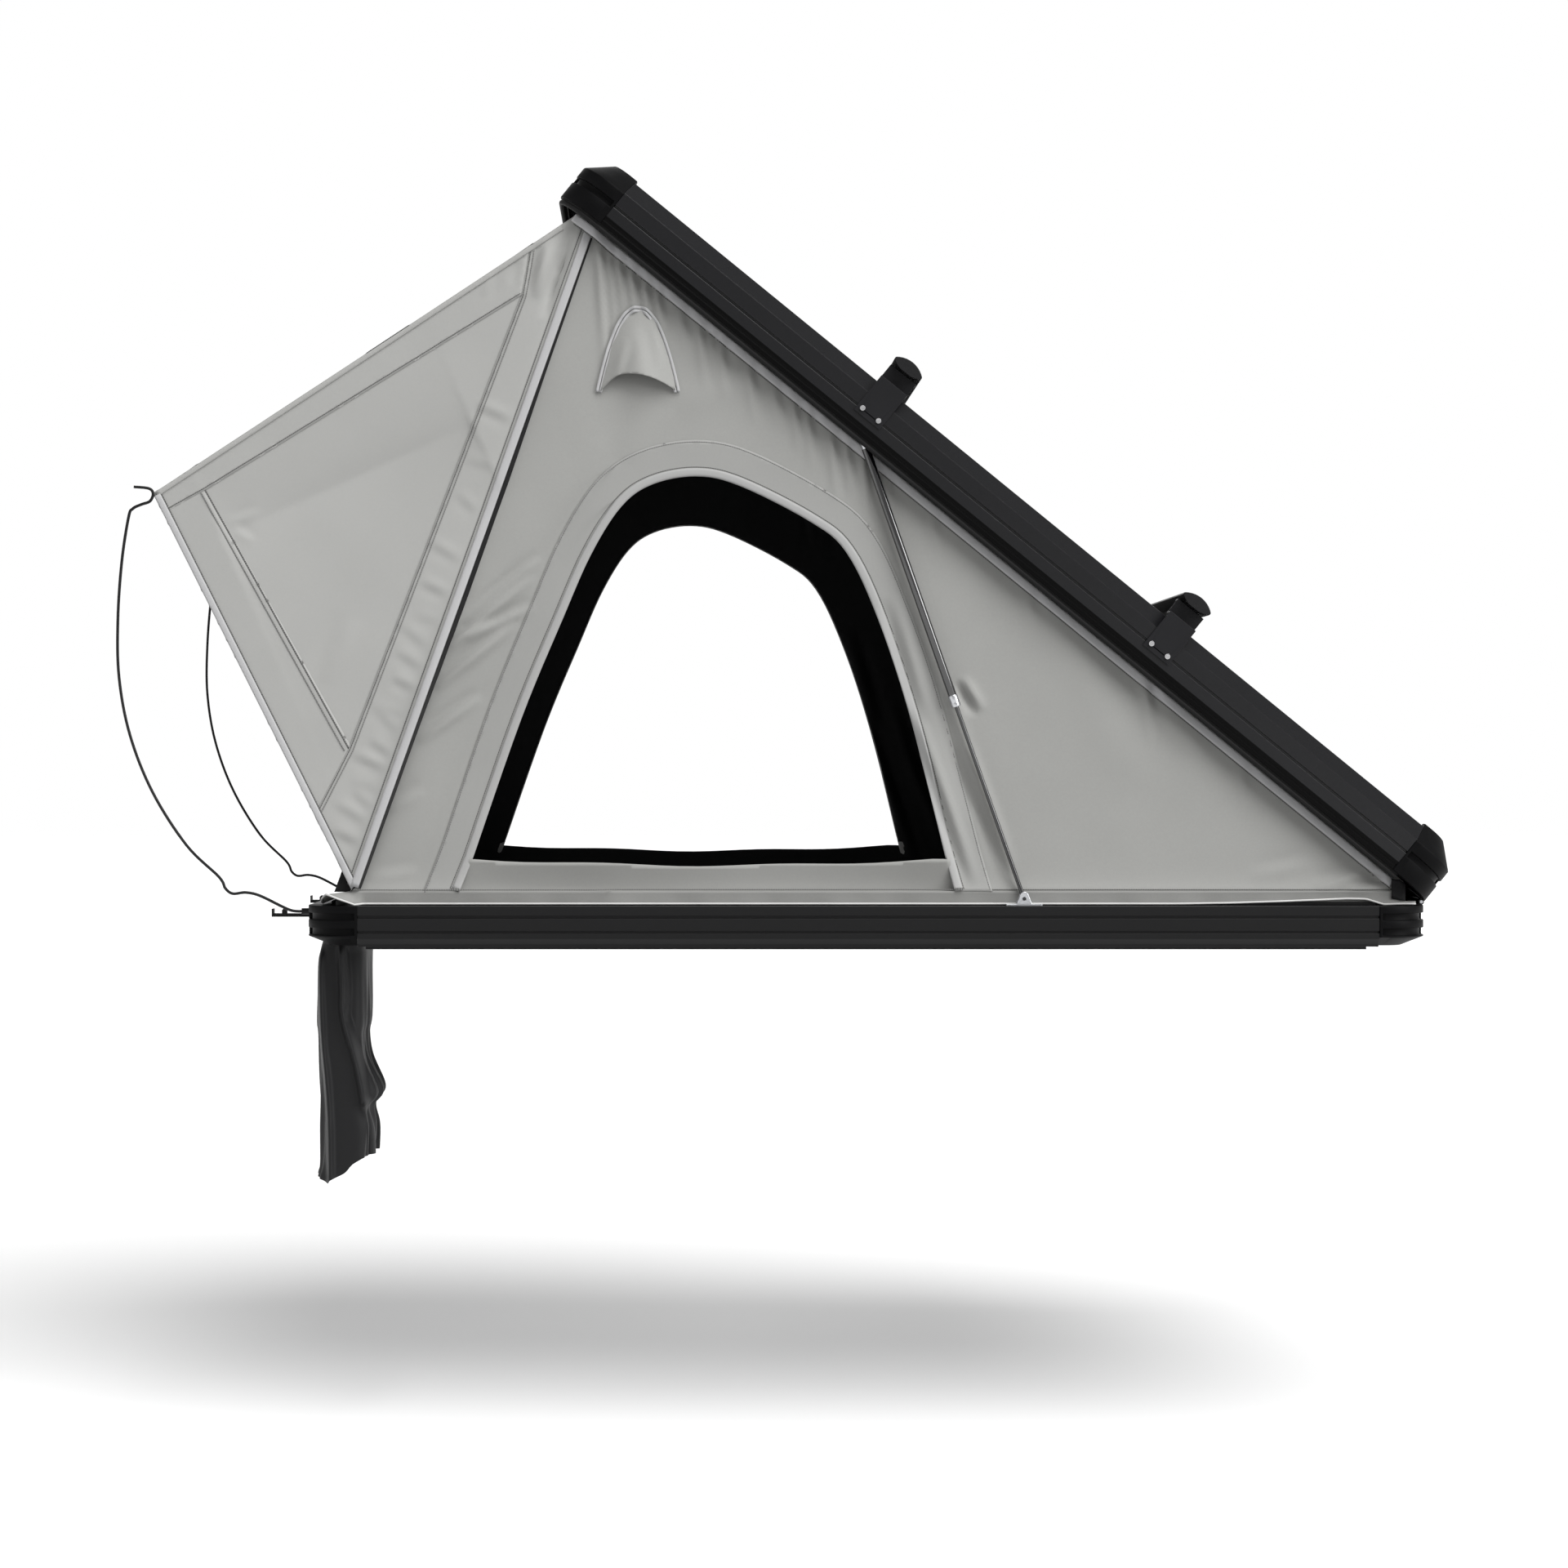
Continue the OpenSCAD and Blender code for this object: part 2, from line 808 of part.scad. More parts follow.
module strut_tube(side) {
    color(black)
        at_foot(side)
            translate([0, 0, strut_len - tube_l])
                difference() {
                    union() {
                        cylinder(h = tube_l - tube_end_l, r = tube_r);
                        translate([0, 0, tube_l - tube_end_l])
                            cylinder(h = tube_end_l, r = rod_r);
                        translate([0, 0, tube_l])
                            rotate([90, 0, 0])
                                cylinder(h = 2 * tube_r, r = eye_r, center = true);
                    }
                    translate([0, 0, -1])
                        cylinder(h = gland_l + 2, r = rod_r + pin_gap);
                    translate([0, 0, gland_l])
                        cylinder(h = tube_l - tube_end_l - 2 * gland_l, r = tube_bore_r);
                }
}

module left_strut_rod() {
    strut_rod(LEFT);
}

module right_strut_rod() {
    strut_rod(RIGHT);
}

module left_strut_tube() {
    strut_tube(LEFT);
}

module right_strut_tube() {
    strut_tube(RIGHT);
}

// Strut brackets of the lid: a plate on the lower lip's edge with a stud that ends beside the tube's eye
head_plate = [44, 3, 30];
stud_r = strut_pin_r + 1;
module strut_lid_brackets() {
    stud_l = strut_inset - lip_w - head_plate[1] - tube_r - soft_gap;
    color(silver)
        opened()
            for (side = [LEFT, RIGHT])
                translate([hinge_x - strut_head_s, side * (half_w - lip_w), lid_z])
                    mirror([0, side > 0 ? 1 : 0, 0]) {
                        translate([-head_plate[0] / 2, 0, strut_head_v - eye_r])
                            cube(head_plate);
                        translate([0, head_plate[1], strut_head_v])
                            rotate([-90, 0, 0])
                                cylinder(h = stud_l, r = stud_r);
                    }
}

// Load bars: hollow lens-shaped bars across the lid, on joggled plates bolted into the side rails' grooves
bar_z = lid_z + lid_h + bar_rise;
bar_front_x = hinge_x - front_bar_s;
bar_rear_x = hinge_x - rear_bar_s;
shelf_w = 56;
plate_foot = 12;
cap_t = 3;
bolt_head_r = 5;
bolt_head_h = 3.5;
bolt_end_gap = 1;
bolt_key = 5;
bolt_key_h = 2;

dome_h = bar_h - bar_belly_h - bar_side_h;
dome_r = (bar_w * bar_w / 4 + dome_h * dome_h) / (2 * dome_h);
belly_z = (bar_w * bar_w / 4 - bar_seat_w * bar_seat_w / 4 + bar_belly_h * bar_belly_h) / (2 * bar_belly_h);
belly_r = norm([bar_seat_w / 2, belly_z]);
module bar_outline(inset = 0) {
    intersection() {
        translate([0, bar_h - dome_r])
            circle(dome_r - inset, $fn = 180);
        translate([0, belly_z])
            circle(belly_r - inset, $fn = 180);
        translate([inset - bar_w / 2, inset])
            square([bar_w - 2 * inset, bar_h]);
    }
}

module load_bar(x) {
    color(black)
        opened()
            translate([x, 0, bar_z])
                rotate([90, 0, 0])
                    linear_extrude(tent_w, center = true)
                        difference() {
                            bar_outline();
                            bar_outline(bar_wall);
                        }
}

module front_load_bar() {
    load_bar(bar_front_x);
}

module rear_load_bar() {
    load_bar(bar_rear_x);
}

module load_bar_caps() {
    color(black)
        opened()
            for (x = [bar_front_x, bar_rear_x], side = [LEFT, RIGHT])
                translate([x, side * (half_w + cap_t / 2), bar_z])
                    rotate([90, 0, 0])
                        linear_extrude(cap_t, center = true)
                            bar_outline();
}

// A bracket's plate steps inwards above the lid, so that the bar's end stands out over it
step_in = 32;
step_rise = 9;
module load_bar_brackets() {
    plate_v = lid_groove_v - plate_foot;
    step_h = lid_h + step_rise - plate_v;
    plate_h = lid_h + bar_rise - plate_v;
    color("#38393c")
        opened()
            for (x = [bar_front_x, bar_rear_x], side = [LEFT, RIGHT])
                translate([x, side * half_w, lid_z + plate_v])
                    mirror([0, side < 0 ? 1 : 0, 0])
                        difference() {
                            translate([-bracket_w / 2, 0, 0])
                                rotate([90, 0, 90])
                                    linear_extrude(bracket_w)
                                        polygon([
                                            [0, 0],
                                            [bracket_t, 0],
                                            [bracket_t, step_h],
                                            [bracket_t - step_in, step_h],
                                            [bracket_t - step_in, plate_h],
                                            [-shelf_w, plate_h],
                                            [-shelf_w, plate_h - bracket_t],
                                            [-step_in, plate_h - bracket_t],
                                            [-step_in, step_h - bracket_t],
                                            [0, step_h - bracket_t]
                                        ]);
                            for (i = [-1, 1])
                                translate([i * bolt_pitch / 2, -1, plate_foot])
                                    rotate([-90, 0, 0])
                                        cylinder(h = bracket_t + 2, r = bolt_r + pin_gap);
                        }
}

module bracket_bolts() {
    color(silver)
        opened()
            for (x = [bar_front_x, bar_rear_x], side = [LEFT, RIGHT], i = [-1, 1])
                translate([x + i * bolt_pitch / 2, side * half_w, lid_z + lid_groove_v])
                    mirror([0, side < 0 ? 1 : 0, 0])
                        rotate([-90, 0, 0])
                            difference() {
                                union() {
                                    translate([0, 0, bolt_end_gap - groove_d])
                                        cylinder(h = groove_d + bracket_t, r = bolt_r);
                                    translate([0, 0, bracket_t])
                                        cylinder(h = bolt_head_h, r = bolt_head_r);
                                }
                                translate([0, 0, bracket_t + bolt_head_h - bolt_key_h])
                                    linear_extrude(bolt_head_h)
                                        circle(d = bolt_key / cos(30), $fn = 6);
                            }
}

// Latches: a plate with two ears on the base, a lever with a catch bar, and a ledge on the lid for the bar
latch_plate_t = 3;
latch_plate_margin = 6;
latch_standoff = 9;
latch_x = -half_l - latch_plate_t - latch_standoff;
latch_ear_t = 3;
latch_ear_r = 7;
latch_ear_gap = 0.5;
catch_out = 4.5;
catch_x = -half_l - catch_out;
cheek_t = 3;
hook_w = 8;
hook_root = 2;
lever_t = 6;
lever_hub_r = 5;
lever_web_t = 2.5;
lever_web_start = 12;
lever_lip = 9.5;
lever_lip_t = 3;

module latch_plates() {
    ear_y = (lever_w + latch_ear_t) / 2 + latch_ear_gap;
    plate_w = 2 * ear_y + latch_ear_t + 2 * latch_plate_margin;
    plate_top = base_h - latch_plate_margin;
    plate_bottom = lower_groove + groove_w;
    color(black)
        for (side = [LEFT, RIGHT])
            translate([0, side * latch_y, 0]) {
                translate([-half_l - latch_plate_t, -plate_w / 2, plate_bottom])
                    cube([latch_plate_t, plate_w, plate_top - plate_bottom]);
                for (ear = [-1, 1])
                    translate([0, ear * ear_y, 0])
                        rotate([90, 0, 0])
                            linear_extrude(latch_ear_t, center = true)
                                difference() {
                                    union() {
                                        translate([latch_x, latch_z])
                                            circle(latch_ear_r);
                                        translate([latch_x, latch_z - latch_ear_r])
                                            square([latch_standoff + overlap, 2 * latch_ear_r]);
                                    }
                                    translate([latch_x, latch_z])
                                        circle(latch_pin_r + pin_gap);
                                }
            }
}

module latch_pins() {
    pin_l = lever_w + 2 * (latch_ear_t + latch_ear_gap);
    color(silver)
        for (side = [LEFT, RIGHT])
            translate([latch_x, side * latch_y, latch_z])
                rotate([90, 0, 0])
                    cylinder(h = pin_l, r = latch_pin_r, center = true);
}

// The lever is drawn closed, upright on its pivot, and laid out to the front where it rests when open
module latch_lever(side) {
    bar_offset = catch_x - latch_x;
    color(black)
        translate([latch_x, side * latch_y, latch_z])
            rotate([0, -90, 0])
                difference() {
                    union() {
                        rotate([90, 0, 0])
                            cylinder(h = lever_w, r = lever_hub_r, center = true);
                        for (cheek = [-1, 1])
                            translate([-lever_t, cheek * (lever_w - cheek_t) / 2 - cheek_t / 2, 0])
                                cube([lever_t, cheek_t, lever_l]);
                        translate([-lever_t, -lever_w / 2, lever_web_start])
                            cube([lever_web_t, lever_w, lever_l - lever_web_start]);
                        translate([-lever_t, -lever_w / 2, lever_l - lever_lip_t])
                            cube([lever_t + lever_lip, lever_w, lever_lip_t]);
                        for (cheek = [-1, 1])
                            translate([
                                -hook_root,
                                cheek * (lever_w - cheek_t) / 2 - cheek_t / 2,
                                catch_reach - hook_w / 2
                            ])
                                cube([bar_offset + hook_root, cheek_t, hook_w]);
                        translate([bar_offset, 0, catch_reach])
                            rotate([90, 0, 0])
                                cylinder(h = lever_w, r = latch_pin_r, center = true);
                    }
                    rotate([90, 0, 0])
                        cylinder(h = lever_w + 2, r = latch_pin_r + pin_gap, center = true);
                }
}

module left_latch_lever() {
    latch_lever(LEFT);
}

module right_latch_lever() {
    latch_lever(RIGHT);
}

module latch_catches() {
    bar_gap = 1;
    ledge_top = latch_z + catch_reach - latch_pin_r - bar_gap;
    ledge_h = 4;
    ledge_out = 7;
    plate_h = 30;
    plate_t = 1.5;
    plate_drop = 8;
    catch_w = lever_w - 2 * cheek_t - 2 * bar_gap;
    color(black)
        opened()
            for (side = [LEFT, RIGHT])
                translate([-half_l, side * latch_y, 0]) {
                    translate([-ledge_out, -catch_w / 2, ledge_top - ledge_h])
                        cube([ledge_out, catch_w, ledge_h]);
                    translate([-plate_t, -catch_w / 2, ledge_top - ledge_h - plate_drop])
                        cube([plate_t, catch_w, plate_h]);
                }
}

// Sockets for the awning's rods: short tubes on plates at the ends of the front rail
socket_y = half_w - socket_inset;
socket_l = 18;
socket_r = 6;
socket_plate = [3, 26, 26];
socket_floor = 1;
socket_gap = 0.3;
module rod_sockets() {
    color(black)
        for (side = [LEFT, RIGHT])
            translate([-half_l, side * socket_y, socket_z])
                difference() {
                    union() {
                        translate([-socket_plate[0], -socket_plate[1] / 2, -socket_plate[2] / 2])
                            cube(socket_plate);
                        rotate([0, -90, 0])
                            cylinder(h = socket_l, r = socket_r);
                    }
                    translate([-socket_plate[0] - socket_floor, 0, 0])
                        rotate([0, -90, 0])
                            cylinder(h = socket_l, r = awning_rod_r + socket_gap);
                }
}

// Smooth curves through a few points
function curve_point(a, b, c, d, t) =
    0.5 * (2 * b + (c - a) * t + (2 * a - 5 * b + 4 * c - d) * t * t + (3 * b - a - 3 * c + d) * t * t * t);
function curve(points, steps) = let(last = len(points) - 1) concat(
    [for (i = [0:last - 1], k = [0:steps - 1])
        curve_point(points[max(i - 1, 0)], points[i], points[i + 1], points[min(i + 2, last)], k / steps)],
    [points[last]]
);

// Side walls: cloth from the base's track to the lid's track, with a window and a vent
wall_y = half_w - wall_inset;
wall_z = track_top + soft_gap;
wall_top_v = inner_wall_v - track_h - soft_gap;
wall_rear_x = half_l - wall_rear;
foot_front = [-half_l + wall_foot, wall_z];
top_front = lid_point(hinge_x + half_l - wall_head, wall_top_v);
foot_rear = [wall_rear_x, wall_z];
top_rear = lid_point(lid_reach(wall_rear_x, wall_top_v), wall_top_v);
window_shape = [
    [0, 0], [0.103, 0.367], [0.189, 0.624], [0.25, 0.796], [0.314, 0.921], [0.38, 0.979], [0.473, 1],
    [0.565, 0.975], [0.713, 0.882], [0.79, 0.801], [0.858, 0.624], [0.926, 0.367], [1, 0]
];
window_corner = foot_front + [window_in, window_sill];
vent_x = top_front[0] + vent_back;
vent_top = lid_point(lid_reach(vent_x, 0), 0)[1] - vent_drop;
vent_steps = 16;
vent_margin = 25;

// Stands an outline in the XZ plane at a side wall
module upright(y, thickness) {
    translate([0, y, 0])
        rotate([90, 0, 0])
            linear_extrude(thickness, center = true)
                children();
}

module window_outline() {
    polygon([for (p = curve(window_shape, 5)) window_corner + [p[0] * window_w, p[1] * window_h]]);
}

// The arch of the vent's hood, with its foot at the origin
module vent_arch(width, height) {
    polygon([for (i = [0:vent_steps])
        let(t = 2 * i / vent_steps - 1)
        [t * width / 2, height * (1 - pow(abs(t), 2.2))]]);
}

module side_wall(side) {
    color(canvas)
        upright(side * wall_y, cloth_t)
            difference() {
                polygon([foot_front, foot_rear, top_rear, top_front]);
                window_outline();
                translate([vent_x, vent_top - vent_h + vent_margin])
                    vent_arch(vent_w - 2 * vent_margin, vent_h - 2 * vent_margin);
            }
}

module left_wall() {
    side_wall(LEFT);
}

module right_wall() {
    side_wall(RIGHT);
}

// Vent hoods: arched flaps that stand out from the wall at their lower lip
hood_edge = 1;
hood_lip_h = 4;
hood_lip_w = vent_w * 0.45;
module hood_form(cut) {
    hull() {
        linear_extrude(hood_edge)
            vent_arch(vent_w - 2 * cut, vent_h - cut);
        translate([0, hood_lip_h / 2 - cut, vent_out - hood_edge - cut])
            linear_extrude(hood_edge)
                square([hood_lip_w - cut, hood_lip_h], center = true);
    }
}

module vent_hood(side) {
    color(canvas)
        translate([vent_x, side * (wall_y + cloth_t / 2 + soft_gap), vent_top - vent_h])
            mirror([0, side < 0 ? 0 : 1, 0])
                rotate([90, 0, 0])
                    difference() {
                        hood_form(0);
                        translate([0, -overlap, -overlap])
                            hood_form(cloth_t);
                    }
}

module left_vent_hood() {
    vent_hood(LEFT);
}

module right_vent_hood() {
    vent_hood(RIGHT);
}

// Front wall: a leaning panel between the side walls, with an arched door
front_run = top_front - foot_front;
front_len = norm(front_run);
front_tilt = atan2(front_run[0], front_run[1]);
panel_half = wall_y - cloth_t / 2 - soft_gap;
panel_margin = 4;
module front_wall() {
    color(canvas)
        translate([foot_front[0], 0, foot_front[1]])
            rotate([0, front_tilt, 0])
                rotate([90, 0, 90])
                    linear_extrude(cloth_t)
                        difference() {
                            translate([-panel_half, panel_margin])
                                square([2 * panel_half, front_len - 2 * panel_margin]);
                            translate([-door_w / 2, door_sill])
                                square([door_w, door_h - door_r]);
                            translate([-door_w / 2 + door_r, door_sill])
                                square([door_w - 2 * door_r, door_h]);
                            for (x = [-1, 1])
                                translate([x * (door_w / 2 - door_r), door_sill + door_h - door_r])
                                    circle(door_r, $fn = 96);
                        }
}

// Awning: two triangular wings and a roof between them, stretched to the tips of two spring rods
awning_tip = [-half_l - awning_reach, awning_h];
wing_gap = 0.6;
wing_foot_rise = 22;
wing_top = top_front - [wing_gap, 0];
wing_foot = foot_front + front_run * wing_foot_rise / front_run[1] - [wing_gap, 0];
roof_start = 4;
roof_way = (awning_tip - wing_top) / norm(awning_tip - wing_top);
roof_down = [-roof_way[1], roof_way[0]];
module awning_wing(side) {
    color(canvas)
        upright(side * wall_y, cloth_t)
            polygon([wing_top, awning_tip, wing_foot]);
}

module left_awning_wing() {
    awning_wing(LEFT);
}

module right_awning_wing() {
    awning_wing(RIGHT);
}

module awning_roof() {
    head = wing_top + roof_start * roof_way;
    color(canvas)
        upright(0, 2 * panel_half)
            polygon([head, awning_tip, awning_tip + cloth_t * roof_down, head + cloth_t * roof_down]);
}

// Awning rods: bent spring wire from a socket at the front rail, out and up to a hook at the awning's tip.
// Points are measured from the socket's mouth to the front and up, with the share of the sideways shift.
rod_side = wall_y + cloth_t / 2 + awning_rod_r + soft_gap;
rod_bends = [
    [0, 0, 0], [12, 0, 0], [22, 0, 0], [34, 2, 0.02], [52, 10, 0.05], [92, 30, 0.12], [118, 36, 0.16],
    [142, 34, 0.2], [156, 44, 0.22], [168, 66, 0.26], [228, 126, 0.38], [290, 226, 0.55],
    [331, 334, 0.7], [350, 442, 0.82], [351, 550, 0.92], [343, 658, 0.98], [330, 742, 1], [322, 758, 1],
    [306, 766, 1], [290, 772, 1], [284, 786, 1], [292, 796, 1], [320, 799, 1]
];
rod_end_gap = 1;
socket_mouth = [-half_l - socket_plate[0] - socket_floor - rod_end_gap, socket_z];
// The last bends hook over the awning's tip, so they move with it, and the arc between is drawn out to suit
hook_bend = rod_bends[len(rod_bends) - 3];
hook_at = [hook_bend[0], hook_bend[1]];
tip_at = [socket_mouth[0] - awning_tip[0], awning_tip[1] - socket_mouth[1]];
rod_draw = [tip_at[0] / hook_at[0], tip_at[1] / hook_at[1]];
function rod_route(side) = [for (p = rod_bends) [
    socket_mouth[0] - p[0] * (p[1] > 0 ? rod_draw[0] : 1),
    side * (socket_y + p[2] * (rod_side - socket_y)),
    socket_mouth[1] + p[1] * rod_draw[1]
]];
rod_sides = 8;

function unit(v) = v / norm(v);
function ring(points, i) = let(
    last = len(points) - 1,
    way = unit(points[min(i + 1, last)] - points[max(i - 1, 0)]),
    across = unit(cross([0, 1, 0], way)),
    other = cross(way, across)
) [for (k = [0:rod_sides - 1])
    points[i] + awning_rod_r * (cos(k * 360 / rod_sides) * across + sin(k * 360 / rod_sides) * other)];

module wire(points) {
    rings = len(points);
    corners = [for (i = [0:rings - 1]) each ring(points, i)];
    sides = [for (i = [0:rings - 2], k = [0:rod_sides - 1])
        let(a = i * rod_sides + k, b = i * rod_sides + (k + 1) % rod_sides)
        each [[a, a + rod_sides, b], [b, a + rod_sides, b + rod_sides]]];
    start = [for (k = [1:rod_sides - 2]) [0, k, k + 1]];
    first = (rings - 1) * rod_sides;
    end = [for (k = [1:rod_sides - 2]) [first, first + k + 1, first + k]];
    polyhedron(corners, concat(sides, start, end));
}

module awning_rod(side) {
    color(black)
        wire(curve(rod_route(side), 3));
}

module left_awning_rod() {
    awning_rod(LEFT);
}

module right_awning_rod() {
    awning_rod(RIGHT);
}

// Mattress: a foam pad with rolled edges, a low crown and sides drawn in between its corners
pad_inset = ledge_w + 8;
pad_pinch = 9;
pad_cols = 28;
pad_rows = 18;
pad_roll = 0.45;
module mattress() {
    l = tent_l - 2 * pad_inset;
    w = tent_w - 2 * pad_inset;
    function spot(i, n) = sin(90 * (2 * i / n - 1));
    function full(s) = 1 - pow(abs(s), 10);
    function plan(a, b) = [
        a * (l / 2 - pad_pinch * (1 - b * b)),
        b * (w / 2 - pad_pinch * (1 - a * a))
    ];
    function height(a, b) =
        mattress_h * (1 - pad_roll + pad_roll * full(a) * full(b))
        + mattress_crown * (1 - a * a) * (1 - b * b);
    cols = pad_cols + 1;
    count = cols * (pad_rows + 1);
    top = [for (j = [0:pad_rows], i = [0:pad_cols])
        let(a = spot(i, pad_cols), b = spot(j, pad_rows), p = plan(a, b)) [p[0], p[1], height(a, b)]];
    bottom = [for (j = [0:pad_rows], i = [0:pad_cols])
        let(p = plan(spot(i, pad_cols), spot(j, pad_rows))) [p[0], p[1], 0]];
    top_faces = [for (j = [0:pad_rows - 1], i = [0:pad_cols - 1])
        let(a = j * cols + i) each [[a, a + cols, a + 1], [a + 1, a + cols, a + cols + 1]]];
    bottom_faces = [for (f = top_faces) [f[0] + count, f[2] + count, f[1] + count]];
    rim = concat(
        [for (i = [0:pad_cols - 1]) [i, i + 1]],
        [for (j = [0:pad_rows - 1]) [j * cols + pad_cols, (j + 1) * cols + pad_cols]],
        [for (i = [pad_cols:-1:1]) [pad_rows * cols + i, pad_rows * cols + i - 1]],
        [for (j = [pad_rows:-1:1]) [j * cols, (j - 1) * cols]]
    );
    side_faces = [for (e = rim) each [[e[0], e[1], e[1] + count], [e[0], e[1] + count, e[0] + count]]];
    color("#8c8c8a")
        translate([0, 0, floor_z + floor_t + soft_gap])
            polyhedron(concat(top, bottom), concat(top_faces, bottom_faces, side_faces));
}

// Shoe bag: a limp cloth bag hung under the front left corner, drawn as the outline of its side
bag_margin = 2;
bag_front = -half_l + base_bevel + rail_wall + bag_margin;
bag_side = end_len / 2 - bag_margin;
bag_shape = [
    [0, 0], [-0.03, -0.3], [0.06, -0.66], [0.02, -0.98], [0.16, -1], [0.34, -0.95],
    [0.98, -0.86], [0.9, -0.76], [1.1, -0.65], [0.92, -0.44], [1, 0]
];
module shoe_bag() {
    bag_top = ledge_bottom - soft_gap;
    full_h = bag_h + bag_top;
    color("#242426")
        translate([bag_front, -bag_side + bag_w / 2, bag_top])
            rotate([90, 0, 0])
                linear_extrude(bag_w, center = true)
                    polygon([for (p = bag_shape) [p[0] * bag_d, p[1] * full_h]]);
}

base_left_rail();
base_right_rail();
base_front_rail();
base_rear_rail();
base_corners();
floor_panel();
left_mounting_rail();
right_mounting_rail();
base_keder_track();
mattress();
hinge_base_leaf();
hinge_pin();
strut_base_brackets();
strut_base_pins();
latch_plates();
latch_pins();
rod_sockets();
left_wall();
right_wall();
front_wall();
left_vent_hood();
right_vent_hood();
shoe_bag();
lid_left_rail();
lid_right_rail();
lid_front_rail();
lid_rear_rail();
lid_corners();
roof_panel();
headliner();
lid_seal();
lid_keder_track();
hinge_lid_leaf();
strut_lid_brackets();
front_load_bar();
rear_load_bar();
load_bar_caps();
load_bar_brackets();
bracket_bolts();
latch_catches();
left_strut_rod();
right_strut_rod();
left_strut_tube();
right_strut_tube();
awning_roof();
left_awning_wing();
right_awning_wing();
left_awning_rod();
right_awning_rod();
left_latch_lever();
right_latch_lever();
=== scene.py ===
import math

import bpy
import numpy as np
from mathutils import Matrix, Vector, kdtree, noise
from mathutils.geometry import delaunay_2d_cdt


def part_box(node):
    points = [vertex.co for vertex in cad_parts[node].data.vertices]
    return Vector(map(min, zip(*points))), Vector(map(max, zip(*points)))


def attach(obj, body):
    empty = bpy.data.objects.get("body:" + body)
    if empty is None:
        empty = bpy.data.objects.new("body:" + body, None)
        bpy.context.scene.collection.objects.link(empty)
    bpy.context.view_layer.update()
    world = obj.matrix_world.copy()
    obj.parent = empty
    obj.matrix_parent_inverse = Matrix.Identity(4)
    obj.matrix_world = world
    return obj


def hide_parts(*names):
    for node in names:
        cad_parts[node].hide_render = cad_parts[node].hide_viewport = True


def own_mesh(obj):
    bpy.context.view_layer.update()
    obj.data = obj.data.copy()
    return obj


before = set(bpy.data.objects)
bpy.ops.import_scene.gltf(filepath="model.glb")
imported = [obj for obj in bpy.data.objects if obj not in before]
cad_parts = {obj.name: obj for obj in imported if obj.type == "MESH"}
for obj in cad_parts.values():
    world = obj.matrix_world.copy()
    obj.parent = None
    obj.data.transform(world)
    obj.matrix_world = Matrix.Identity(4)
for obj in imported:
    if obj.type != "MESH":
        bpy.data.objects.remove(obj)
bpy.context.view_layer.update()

# The studio: a white room, a camera level with the windows and soft light from above.
# The floor lies as far below the tent as the ground under a roof rack, and catches only its shadow.
scene = bpy.context.scene
scene.view_settings.view_transform = "Standard"
floor_level = -0.92

camera = bpy.data.objects.new("camera", bpy.data.cameras.new("camera"))
scene.collection.objects.link(camera)
camera.location = (-0.385, -6.728, 0.327)
camera.rotation_euler = (math.radians(90), 0, 0)
camera.data.sensor_width = 36
camera.data.lens = 74.9
camera.data.shift_x = 0.078
camera.data.shift_y = -0.0052
camera.data.clip_end = 200
scene.camera = camera


def soft_sun(name, heading, strength, spread):
    """A lamp that shines along a heading, softened by its spread in degrees."""
    lamp = bpy.data.objects.new(name, bpy.data.lights.new(name, "SUN"))
    lamp.data.energy = strength
    lamp.data.angle = math.radians(spread)
    lamp.rotation_euler = Vector(heading).to_track_quat("-Z", "Y").to_euler()
    scene.collection.objects.link(lamp)


soft_sun("key_light", (-0.3, 0.55, -0.95), 2.3, 42)
soft_sun("side_light", (-0.8, 0.5, -0.27), 1.6, 32)
soft_sun("front_light", (0.9, 0.3, -0.3), 0.5, 60)
soft_sun("back_light", (-0.2, -0.8, -0.5), 0.8, 60)


def add(tree, kind, inputs, **settings):
    """A new shader node with its settings, and with values or other nodes' outputs for its inputs."""
    made = tree.nodes.new("ShaderNode" + kind)
    for key, value in settings.items():
        setattr(made, key, value)
    for key, value in inputs.items():
        if isinstance(value, bpy.types.NodeSocket):
            tree.links.new(value, made.inputs[key])
        else:
            made.inputs[key].default_value = value
    return made


def seen_by(tree, rays):
    """1 for the camera's own rays and for the kinds of ray that are named."""
    path = add(tree, "LightPath", {})
    seen = path.outputs["Is Camera Ray"]
    for ray in rays:
        seen = add(tree, "Math", {0: seen, 1: path.outputs[ray]}, operation="MAXIMUM").outputs[0]
    return seen


def two_ways(tree, kind, output, lit, shown, rays):
    """One grey where the room lights the tent, which is given back, and another where it is seen."""
    shaders = [add(tree, kind, {"Color": (grey, grey, grey, 1)}) for grey in (lit, shown)]
    mix = add(tree, "MixShader", {0: seen_by(tree, rays), 1: shaders[0].outputs[0], 2: shaders[1].outputs[0]})
    tree.links.new(mix.outputs[0], output.inputs["Surface"])
    return shaders[0]


room = bpy.data.worlds.new("white_room")
room.use_nodes = True
room_tree = room.node_tree
room_light = two_ways(room_tree, "Background", room_tree.nodes["World Output"], 1, 1, ["Is Transmission Ray"])
heading = add(room_tree, "TexCoord", {})
upward = add(room_tree, "SeparateXYZ", {0: heading.outputs["Generated"]})
ceiling = add(room_tree, "MapRange", {"Value": upward.outputs["Z"], "To Min": 0.5, "To Max": 0.14})
room_tree.links.new(ceiling.outputs[0], room_light.inputs["Strength"])
scene.world = room

